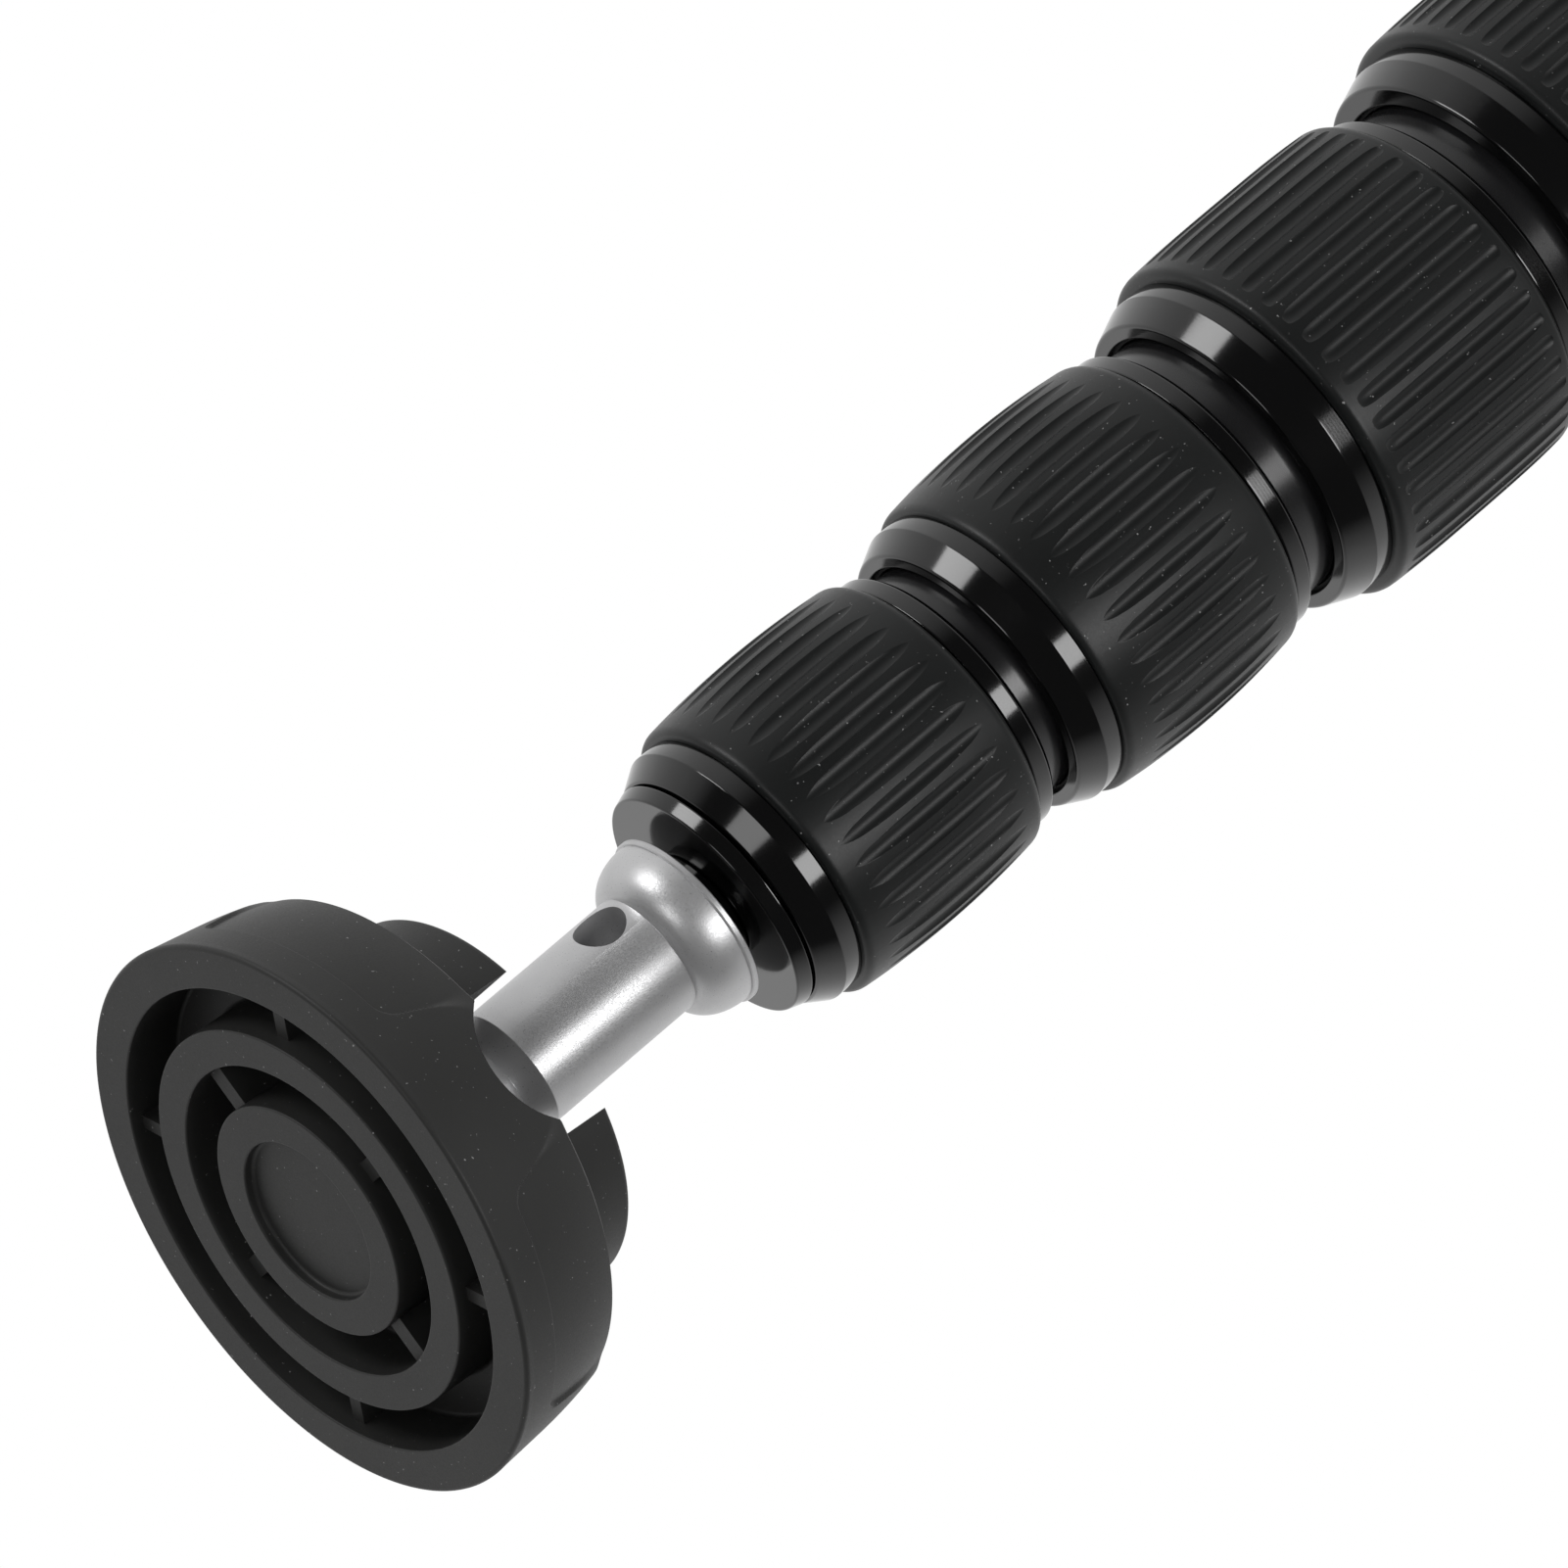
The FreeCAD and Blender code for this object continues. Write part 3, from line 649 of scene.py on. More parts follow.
@dataclass
class TwistLock:
    """One twist lock: a turned nut with its rubber sleeve, and the collar above it.

    Lengths are in millimetres. Heights on the nut and the collar start at the nut's lower rim,
    and heights on the sleeve at its lower end.
    """

    number: int
    tube_r: float
    next_tube_r: float
    skin: float
    cone_drop: float
    cone_high: float
    sleeve_long: float
    flutes: int
    middle_r: float
    shoulder_r: float
    edge_r: float
    flute_end: FluteEnd
    flute_low: float
    flute_high: float
    barrel_power: float
    band_high: float = 1.8
    collar_high: float = 2.3
    sleeve_seat: float = 1.0
    nut_wall: float = 0.85
    mouth_play: float = 0.5
    mouth_high: float = 1.95
    thread_low: float = 7.9
    flute_bit: float = 1.13
    flute_deep: float = 0.38
    flute_least: float = 0.015
    flute_lip: float = 0.05
    flute_lip_shift: float = 0.02
    row_gap: float = 0.05
    flute_rows_long: float = 2.6
    edge_round: float = 0.7
    collar_gap: float = 0.25
    collar_bevel: float = 0.45
    collar_step: float = 0.8
    seal_rise: float = 0.6
    seal_high: float = 1.2

    @property
    def band_r(self) -> float:
        """Radius of the bright band."""
        return self.tube_r + self.skin

    @property
    def low(self) -> float:
        """Height of the lower rim."""
        return box_mm(f"lock_{self.number}_nut")[0].z

    @property
    def core_r(self) -> float:
        """Radius of the nut under the sleeve."""
        return self.band_r - self.sleeve_seat

    @property
    def mouth_r(self) -> float:
        """Radius of the nut's mouth."""
        return self.next_tube_r + self.mouth_play

    @property
    def seat_low(self) -> float:
        """Height of the sleeve's lower end above the rim."""
        return self.cone_high + self.band_high

    @property
    def seat_top(self) -> float:
        """Height of the sleeve's upper end above the rim."""
        return self.seat_low + self.sleeve_long

    def barrel(self, z: float) -> float:
        """Find the sleeve's radius at a height.

        Args:
            z: The height above its lower end.

        Returns:
            The radius between the flutes.
        """
        half = self.sleeve_long / 2
        share = abs(z - half) / half
        radius = self.middle_r - (self.middle_r - self.shoulder_r) * share ** self.barrel_power
        end = min(z, self.sleeve_long - z)
        if end < self.edge_round:
            fall = self.shoulder_r - self.edge_r
            radius -= fall * (1 - math.sqrt(max(0.0, 1 - (1 - end / self.edge_round) ** 2)))
        return radius

    def flute_width(self, z: float) -> float:
        """Find how wide a flute is where its straight cutter meets the barrel.

        Args:
            z: The height above the sleeve's lower end.

        Returns:
            Half its width, or 0 beyond its ends.
        """
        run = min(z - self.flute_low, self.sleeve_long - self.flute_high - z)
        if run <= 0.0:
            return 0.0
        run_out = self.flute_end.value
        share = 1.0 if run > run_out else math.sqrt(1 - (1 - run / run_out) ** 2)
        deep = share * max(0.0, self.barrel(z) - self.middle_r + self.flute_deep)
        return math.sqrt(max(0.0, 2 * self.flute_bit * deep - deep * deep))

    def sleeve_heights(self) -> list[float]:
        """Choose the heights of the sleeve's rows, close together where the flutes run out.

        Returns:
            The heights above the sleeve's lower end.
        """
        long, ramp_long = self.sleeve_long, self.flute_rows_long
        start, stop = self.flute_low, long - self.flute_high
        ramp = [start + ramp_long * (k / 11) ** 2 for k in range(12)]
        straight = stop - start - 2 * ramp_long
        heights = [z for z in EDGE_ROWS if z < start - self.row_gap] + ramp
        heights += [start + ramp_long + straight * k / 10 for k in range(1, 10)]
        heights += [stop - z + start for z in reversed(ramp)]
        heights += [
            long - z for z in reversed(EDGE_ROWS) if long - z > stop + self.row_gap]
        return heights

    def sleeve_row(self, z: float) -> list[Point]:
        """Lay out one row of a flute's share of the sleeve.

        Args:
            z: The row's height above the sleeve's lower end.

        Returns:
            Its points as an angle in radians and a radius, from one side to the other.
        """
        outer, bit = self.barrel(z), self.flute_bit
        width = max(self.flute_width(z), self.flute_least)
        deep = bit - math.sqrt(bit ** 2 - width ** 2) if width > self.flute_least else 0.0
        right: list[Point] = []
        for share in FLUTE_SHARES:
            across = width * share
            sunk = deep - bit + math.sqrt(bit ** 2 - across ** 2)
            right.append((across / outer, outer - sunk))
        edge = right[-1][0]
        half = math.pi / self.flutes
        right += [
            (edge + self.flute_lip / outer, outer),
            ((edge + half) / 2 + self.flute_lip_shift / outer, outer),
            (half, outer)]
        return [(-angle, radius) for angle, radius in reversed(right[1:])] + right

    def sleeve_segment(self) -> bpy.types.Mesh:
        """Make one flute's share of the sleeve.

        Returns:
            An open strip, in metres, that welds to its copies.
        """
        heights = self.sleeve_heights()
        rows = [self.sleeve_row(z) for z in heights]
        half = math.pi / self.flutes
        last = len(rows[0]) - 1
        rows += [[(half * (2 * k / last - 1), self.core_r) for k in range(last + 1)]] * 2
        bm = bmesh.new()
        strips = [
            [bm.verts.new((r * math.cos(a), r * math.sin(a), z)) for a, r in row]
            for row, z in zip(rows, heights + [self.sleeve_long, 0.0])]
        for lower, upper in zip(strips, strips[1:] + strips[:1]):
            for k in range(last):
                bm.faces.new((lower[k], lower[k + 1], upper[k + 1], upper[k]))
        bm.transform(Matrix.Scale(MM, 4))
        mesh = bpy.data.meshes.new("flute")
        bm.to_mesh(mesh)
        bm.free()
        return mesh

    def sleeve(self) -> bpy.types.Object:
        """Make the fluted rubber sleeve.

        Returns:
            The sleeve.
        """
        return repeat_round(
            f"lock_{self.number}_sleeve_rubber", self.sleeve_segment(), self.flutes,
            SLEEVE_RUBBER, self.low + self.seat_low)

    def nut(self) -> bpy.types.Object:
        """Make the turned nut with its cone and bright band.

        Returns:
            The nut.
        """
        thread_r = self.core_r - self.nut_wall
        return turned(f"lock_{self.number}_nut_turned", [
            (self.mouth_r, 0.0, 0.15),
            (self.band_r - self.cone_drop, 0.0, 0.35),
            (self.band_r, self.cone_high, 0.25),
            (self.band_r, self.seat_low, 0.12),
            (self.core_r, self.seat_low),
            (self.core_r, self.seat_top),
            (thread_r, self.seat_top),
            (thread_r, self.thread_low),
            (self.mouth_r, self.mouth_high)], self.low, GLOSS_BLACK)

    def collar(self) -> bpy.types.Object:
        """Make the collar on the tube above the sleeve, with its threaded spigot.

        Returns:
            The collar.
        """
        spigot_r = self.core_r - self.nut_wall - 0.1
        spigot_low = box_mm(f"lock_{self.number}_ferrule")[0].z - self.low
        bore = self.next_tube_r + 0.2
        seat_r = self.tube_r + 0.005
        bottom = self.seat_top + self.collar_gap
        top = self.seat_top + self.collar_high
        return turned(f"lock_{self.number}_collar_turned", [
            (bore, spigot_low, 0.1),
            (spigot_r, spigot_low, 0.2),
            (spigot_r, bottom),
            (self.band_r, bottom, 0.18),
            (self.band_r, top - self.collar_bevel, 0.25),
            (self.band_r - self.collar_bevel, top, 0.15),
            (seat_r, top),
            (seat_r, bottom + self.collar_step),
            (bore, bottom + self.collar_step)], self.low, GLOSS_BLACK)

    def dust_seal(self) -> bpy.types.Object:
        """Make the dust ring in the mouth of the nut.

        Returns:
            The dust ring.
        """
        inner = self.next_tube_r + 0.1
        outer = self.mouth_r - 0.01
        return turned(f"lock_{self.number}_dust_seal", [
            (inner, 0.0, 0.1),
            (outer, 0.0),
            (outer, self.seal_high),
            (inner, self.seal_high, 0.1)], self.low + self.seal_rise, DARK_SEAL)

    def assemble(self) -> None:
        """Build the lock's pieces and let each ride on its body."""
        n = self.number
        ride(self.nut(), f"lock_{n}", f"lock_{n}_nut", slot="black_anodised")
        ride(self.sleeve(), f"lock_{n}", f"lock_{n}_sleeve", slot="black_rubber")
        ride(self.dust_seal(), f"lock_{n}", f"lock_{n}_dust_ring", slot="black_rubber")
        ride(self.collar(), f"section_{n}", f"lock_{n}_ferrule", slot="black_anodised")
        dress_node(f"lock_{n}_collet", GUIDE_PLASTIC)


@dataclass
class Tubes:
    """The five nested tubes with their guide shims, with lengths in millimetres."""

    outer_r: tuple[float, ...] = (16.0, 14.4, 12.8, 11.2, 9.6)
    wall: float = 1.2
    edge: float = 0.25

    def assemble(self) -> None:
        """Build each tube and dress its shims."""
        for section, radius in enumerate(self.outer_r, start=1):
            node = "main_tube" if section == 1 else f"tube_{section}"
            low, high = box_mm(node)
            bore = radius - self.wall
            long = high.z - low.z
            tube = turned(f"{node}_drawn", [
                (bore, 0.0, self.edge),
                (radius, 0.0, self.edge),
                (radius, long, self.edge),
                (bore, long, self.edge)], low.z, TUBE_BLACK, steps=160, round_steps=3)
            ride(tube, f"section_{section}", node, slot="black_anodised")
            if section > 1:
                dress_node(f"{node}_guide_shims", GUIDE_PLASTIC)


@dataclass
class EndPlug:
    """The plug in the lowest tube with its disc, and the washer under it, in millimetres."""

    disc_r: float = 11.2
    disc_taper: float = 0.4
    disc_high: float = 1.3
    disc_edge: float = 0.1
    bore: float = 4.1
    tube_bore: float = 8.4
    washer_r: float = 5.2
    washer_high: float = 1.4

    def assemble(self) -> None:
        """Build the plug and the washer."""
        low, high = box_mm("end_plug")
        top = high.z - low.z
        plug = turned("end_plug_turned", [
            (self.bore, 0.0),
            (self.disc_r - self.disc_taper, 0.0, 0.2),
            (self.disc_r, self.disc_high - self.disc_edge, 0.2),
            (self.disc_r, self.disc_high, 0.1),
            (self.tube_bore, self.disc_high),
            (self.tube_bore, top, 0.5),
            (self.bore, top)], low.z, GLOSS_BLACK)
        ride(plug, "section_5", "end_plug", slot="black_anodised")
        low, _ = box_mm("stud_washer")
        washer = turned("stud_washer_turned", [
            (self.bore, 0.0),
            (self.washer_r, 0.0, 0.2),
            (self.washer_r, self.washer_high, 0.2),
            (self.bore, self.washer_high)], low.z, GLOSS_BLACK)
        ride(washer, "section_5", "stud_washer", slot="black_anodised")


@dataclass
class BallStud:
    """The ball stud: ball, neck, shaft with its cross hole, dome and lip.

    Lengths are in millimetres and heights start at the ball's centre. Angles are in degrees.
    """

    ball_r: float = 7.0
    neck_r: float = 4.0
    shaft_r: float = 5.5
    shaft_rise: float = 7.7
    shaft_long: float = 15.2
    dome_r: float = 7.9
    dome_high: float = 4.0
    lip_r: float = 8.15
    lip_high: float = 0.6
    rod_r: float = 4.0
    hole_r: float = 2.3
    hole_rise: float = 20.05
    hole_turn: float = -141.0
    ball_sweep: float = 143.0
    ball_steps: int = 24
    dome_start: float = 8.0
    dome_steps: int = 14
    lip_edge: float = 0.1
    rod_edge: float = 0.4

    def outline(self, top: float) -> list[Point]:
        """Lay out the stud from the ball to the end of its rod.

        Args:
            top: The height of the rod's end.

        Returns:
            The outline's points (r, z).
        """
        corners: list[Point] = []
        for k in range(self.ball_steps + 1):
            angle = math.radians(-90 + k * self.ball_sweep / self.ball_steps)
            corners.append((max(0.0, self.ball_r * math.cos(angle)), self.ball_r * math.sin(angle)))
        dome_low = self.shaft_rise + self.shaft_long
        dome_top = dome_low + self.dome_high
        lip_top = dome_top + self.lip_high
        neck_join = math.sqrt(self.ball_r ** 2 - self.neck_r ** 2)
        corners += rounded([
            (self.neck_r - 0.2, neck_join - 0.1),
            (self.neck_r, neck_join + 0.05, 0.4),
            (self.shaft_r, self.shaft_rise, 0.12),
            (self.shaft_r, dome_low - 0.05)], closed=False)[1:]
        corners.append((self.shaft_r + 0.03, dome_low))
        for k in range(1, self.dome_steps + 1):
            angle = math.radians(self.dome_start + (90 - self.dome_start) * k / self.dome_steps)
            corners.append((
                self.shaft_r + (self.dome_r - self.shaft_r) * math.sin(angle),
                dome_low + self.dome_high * (1 - math.cos(angle))))
        corners += [
            (self.lip_r - self.lip_edge, dome_top + 0.02),
            (self.lip_r, dome_top + 0.02 + self.lip_edge),
            (self.lip_r, lip_top - self.lip_edge),
            (self.lip_r - self.lip_edge, lip_top),
            (self.rod_r, lip_top),
            (self.rod_r, top - self.rod_edge),
            (self.rod_r - self.rod_edge, top),
            (0.0, top)]
        return corners

    def assemble(self) -> None:
        """Build the stud, drill its cross hole, and dress its nut."""
        low, high = box_mm("foot_stud")
        centre = low.z + self.ball_r
        material = BLASTED_ALUMINIUM.build()
        bm = turned_bmesh(self.outline(high.z - centre), even_turns(192))
        stud = mesh_object("foot_stud_turned", finish_bmesh(bm, centre), material)
        drill = bmesh.new()
        bmesh.ops.create_cone(
            drill, cap_ends=True, segments=64, radius1=self.hole_r, radius2=self.hole_r,
            depth=4 * self.shaft_r)
        drill.transform(
            Matrix.Translation((0.0, 0.0, self.hole_rise))
            @ Matrix.Rotation(math.radians(self.hole_turn), 4, "Z")
            @ Matrix.Rotation(math.radians(90), 4, "Y"))
        boolean(stud, mesh_object("drill", finish_bmesh(drill, centre), material), "DIFFERENCE")
        smooth(stud.data)
        ride(stud, "stud", "foot_stud", slot="blasted_aluminium")
        dress_node("stud_nut", PLATED_STEEL)


@dataclass(frozen=True)
class RibRing:
    """Ribs that cross one groove of the sole, in millimetres, the first turned by some degrees."""

    inner: float
    outer: float
    thick: float
    turn: float
    count: int = 4


@dataclass
class RubberFoot:
    """The moulded foot: ringed sole, bowed wall with sunk petals, hub, socket and swing slot.

    Lengths are in millimetres and heights start at the sole. Angles are in degrees.
    """

    foot_r: float = 25.0
    wall_r: float = 24.75
    wall_low: float = 0.9
    wall_draft: float = 0.115
    wall_bow: float = 0.0075
    bow_start: float = 5.0
    bow_power: float = 2.2
    shoulder: float = 11.75
    shoulder_r: float = 22.55
    hub_low: float = 13.2
    hub_r: float = 16.7
    hub_top: float = 19.4
    ball_high: float = 14.7
    socket_r: float = 7.1
    mouth_r: float = 9.8
    lip_rise: float = 3.0
    slot_r: float = 6.6
    sole_r: float = 7.2
    sole_recess: float = 0.9
    grooves: tuple[Point, ...] = ((10.45, 14.05), (17.3, 21.0))
    groove_deep: float = 5.5
    ribs: tuple[RibRing, ...] = (
        RibRing(17.0, 21.4, 1.3, 45.0), RibRing(10.1, 14.4, 1.8, 0.0))
    rib_recess: float = 1.2
    rib_root: float = 0.6
    petal_low: float = 3.65
    petal_deep: float = 0.32
    petal_middle: float = 46.5
    petal_half: float = 26.0
    petal_widen: float = 0.75
    petal_round: float = 1.3
    petal_arc_r: float = 23.0
    petal_edge: float = 0.30
    petal_fade_low: float = 7.0
    petal_least_r: float = 18.0
    petal_least_z: float = 3.0
    groove_side_r: float = 21.6
    groove_side_top: float = 10.0
    shoulder_fade: float = 2.5
    turn_count: int = 240
    side_count: int = 44
    side_start: float = 4.0
    side_step: float = 0.28
    least_step: float = 0.15
    swing: float = 11.9
    cross: float = 5.25

    def place(self) -> Matrix:
        """Find the foot's place on the ball.

        Returns:
            The place, in millimetres.
        """
        joint = next(j for j in frame["joints"] if j["name"] == "foot_swing")
        centre = Vector(joint["pos_m"]) / MM
        return (
            Matrix.Translation(centre)
            @ Matrix.Rotation(math.radians(-self.swing), 4, "X")
            @ Matrix.Rotation(math.radians(self.cross), 4, "Y")
            @ Matrix.Rotation(math.radians(-90), 4, "Z")
            @ Matrix.Translation((0.0, 0.0, -self.ball_high)))

    def outline(self) -> list[Point]:
        """Lay out the foot from the middle of the sole to the bottom of the socket.

        Returns:
            The outline's points (r, z).
        """
        corners: list[Corner] = [
            (0.0, self.sole_recess),
            (self.sole_r, self.sole_recess, 0.3),
            (self.sole_r, 0.0, 0.15)]
        for inner, outer in self.grooves:
            corners += [
                (inner, 0.0, 0.15),
                (inner, self.groove_deep, 0.3),
                (outer, self.groove_deep, 0.3),
                (outer, 0.0, 0.15)]
        corners += [
            (self.foot_r - 0.1, 0.0, 0.8),
            *self.wall(),
            (self.shoulder_r, self.shoulder, 0.6),
            (self.hub_r, self.hub_low, 0.8),
            (self.hub_r, self.hub_top, 0.45),
            (self.mouth_r, self.hub_top, 0.4),
            (math.sqrt(self.socket_r ** 2 - self.lip_rise ** 2), self.ball_high + self.lip_rise)]
        points = rounded(corners, closed=False)
        lip_angle = math.degrees(math.asin(self.lip_rise / self.socket_r))
        for k in range(1, 25):
            angle = math.radians(lip_angle - k * (90 + lip_angle) / 24)
            points.append((
                max(0.0, self.socket_r * math.cos(angle)),
                self.ball_high + self.socket_r * math.sin(angle)))
        return points

    def wall(self) -> list[Point]:
        """Lay out the bowed wall, with rows close together where the petals begin.

        Returns:
            The wall's points (r, z).
        """
        points: list[Point] = []
        for start, step, count in (
                (self.wall_low, 0.3, 8),
                (self.petal_low - 0.3, 0.06, 14),
                (self.petal_low + 0.66, 0.2, 36)):
            for z in (start + step * k for k in range(count)):
                bow = self.wall_bow * max(0.0, z - self.bow_start) ** self.bow_power
                points.append((self.wall_r - self.wall_draft * (z - 1.0) - bow, z))
        return points

    def turns(self) -> list[float]:
        """Choose the steps round the foot, close together at the petals' sides.

        Returns:
            Their angles, in radians.
        """
        values = {round(360.0 * k / self.turn_count, 4) for k in range(self.turn_count)}
        for middle in (self.petal_middle, 180.0 - self.petal_middle):
            for turn, side in product((middle, 360.0 - middle), (-1, 1)):
                for k in range(self.side_count):
                    reach = self.petal_half - self.side_start + self.side_step * k
                    values.add(round((turn + side * reach) % 360.0, 4))
        ordered = sorted(values)
        kept = [ordered[0]]
        for value in ordered[1:]:
            if value - kept[-1] > self.least_step:
                kept.append(value)
        return [math.radians(value) for value in kept]

    def petal(self, angle: float, z: float) -> float:
        """Find how deep the petals lie at a place on the wall.

        Args:
            angle: The place's angle round the foot, in radians.
            z: Its height.

        Returns:
            The depth as a share, from 0 to 1.
        """
        turn = abs((math.degrees(angle) + 180.0) % 360.0 - 180.0)
        turn = min(turn, 180.0 - turn) - self.petal_middle
        half = self.petal_half + self.petal_widen * max(0.0, z - self.petal_low)
        arc = math.radians(abs(turn)) * self.petal_arc_r
        across = arc - (math.radians(half) * self.petal_arc_r - self.petal_round)
        down = (self.petal_low + self.petal_round) - z
        if across > 0 and down > 0:
            outside = math.hypot(across, down) - self.petal_round
        else:
            outside = max(across, down) - self.petal_round
        fade = max(0.0, z - self.petal_fade_low) / 4.0
        share = min(1.0, max(0.0, 0.5 - outside / (self.petal_edge + 2.6 * fade * fade)))
        return share * share * (3 - 2 * share)

    def sink_petals(self, bm: bmesh.types.BMesh) -> None:
        """Press the petals into the wall and the shoulder.

        Args:
            bm: The turned foot.
        """
        for vert in bm.verts:
            radius = math.hypot(vert.co.x, vert.co.y)
            in_groove = radius < self.groove_side_r and vert.co.z < self.groove_side_top
            if in_groove or radius < self.petal_least_r or vert.co.z < self.petal_least_z:
                continue
            past = self.shoulder_r - 0.6 - radius
            fade = min(1.0, max(0.0, 1.0 - past / self.shoulder_fade))
            share = self.petal(math.atan2(vert.co.y, vert.co.x), vert.co.z)
            push = -self.petal_deep * share * fade
            vert.co.x *= 1 + push / radius
            vert.co.y *= 1 + push / radius

    def rib_tool(self) -> bpy.types.Mesh:
        """Make the ribs of the sole's grooves.

        Returns:
            Their blocks, which reach into the bottom of the grooves.
        """
        bm = bmesh.new()
        top = self.groove_deep + self.rib_root
        for ring in self.ribs:
            for k in range(ring.count):
                made = bmesh.ops.create_cube(bm, size=1.0)
                turn = math.radians(ring.turn + 360.0 * k / ring.count)
                bmesh.ops.transform(
                    bm, verts=made["verts"],
                    matrix=Matrix.Rotation(turn, 4, "Z")
                    @ Matrix.Translation((
                        (ring.inner + ring.outer) / 2, 0.0, (self.rib_recess + top) / 2))
                    @ Matrix.Diagonal((
                        ring.outer - ring.inner, ring.thick, top - self.rib_recess, 1.0)))
        return finish_bmesh(bm)

    def slot_tool(self) -> bpy.types.Mesh:
        """Make the form that the swing slot takes out of the foot.

        Returns:
            The form, which reaches from the ball out through the hub.
        """
        section: list[Point] = []
        for k in range(33):
            angle = math.radians(180 + 180 * k / 32)
            section.append((
                self.slot_r * math.cos(angle), self.ball_high + self.slot_r * math.sin(angle)))
        top = self.hub_top + 4.0
        section += [(self.slot_r, top), (-self.slot_r, top)]
        bm = bmesh.new()
        near = [bm.verts.new((0.0, y, z)) for y, z in section]
        far = [bm.verts.new((30.0, y, z)) for y, z in section]
        bm.faces.new(near)
        bm.faces.new(list(reversed(far)))
        for k in range(len(section)):
            n = (k + 1) % len(section)
            bm.faces.new((near[k], far[k], far[n], near[n]))
        bmesh.ops.recalc_face_normals(bm, faces=bm.faces)
        return finish_bmesh(bm)

    def assemble(self) -> None:
        """Build the foot and put it on its ball."""
        material = FOOT_RUBBER.build()
        bm = turned_bmesh(self.outline(), self.turns())
        self.sink_petals(bm)
        foot = mesh_object("rubber_foot_moulded", finish_bmesh(bm), material)
        boolean(foot, mesh_object("ribs", self.rib_tool(), material), "UNION")
        boolean(foot, mesh_object("slot", self.slot_tool(), material), "DIFFERENCE")
        foot.data.transform(Matrix.Scale(MM, 4) @ self.place() @ Matrix.Scale(1 / MM, 4))
        smooth(foot.data)
        ride(foot, "foot", "rubber_foot", slot="foot_rubber")


@dataclass(frozen=True)
class Thread:
    """A screw thread about the pole, with lengths in millimetres."""

    radius: float
    pitch: float
    start: float
    end: float
    deep: float = 0.55
    fade: float = 0.5

    def cut(self, bm: bmesh.types.BMesh) -> None:
        """Press the thread into a turned form.

        Args:
            bm: The form, with rows close together over the thread.
        """
        for vert in bm.verts:
            radius = math.hypot(vert.co.x, vert.co.y)
            z = vert.co.z
            if abs(radius - self.radius) >= TOUCH or not (
                    self.start - TOUCH <= z <= self.end + TOUCH):
                continue
            turn = math.atan2(vert.co.y, vert.co.x) / (2 * math.pi)
            phase = (z / self.pitch - turn) % 1.0
            fade = min(1.0, (z - self.start) / self.fade, (self.end - z) / self.fade + 0.35)
            flank = 1.15 * (1.0 - abs(2.0 * phase - 1.0)) - 0.08
            deep = self.deep * max(0.0, fade) * min(1.0, max(0.0, flank))
            vert.co.x *= (radius - deep) / radius
            vert.co.y *= (radius - deep) / radius


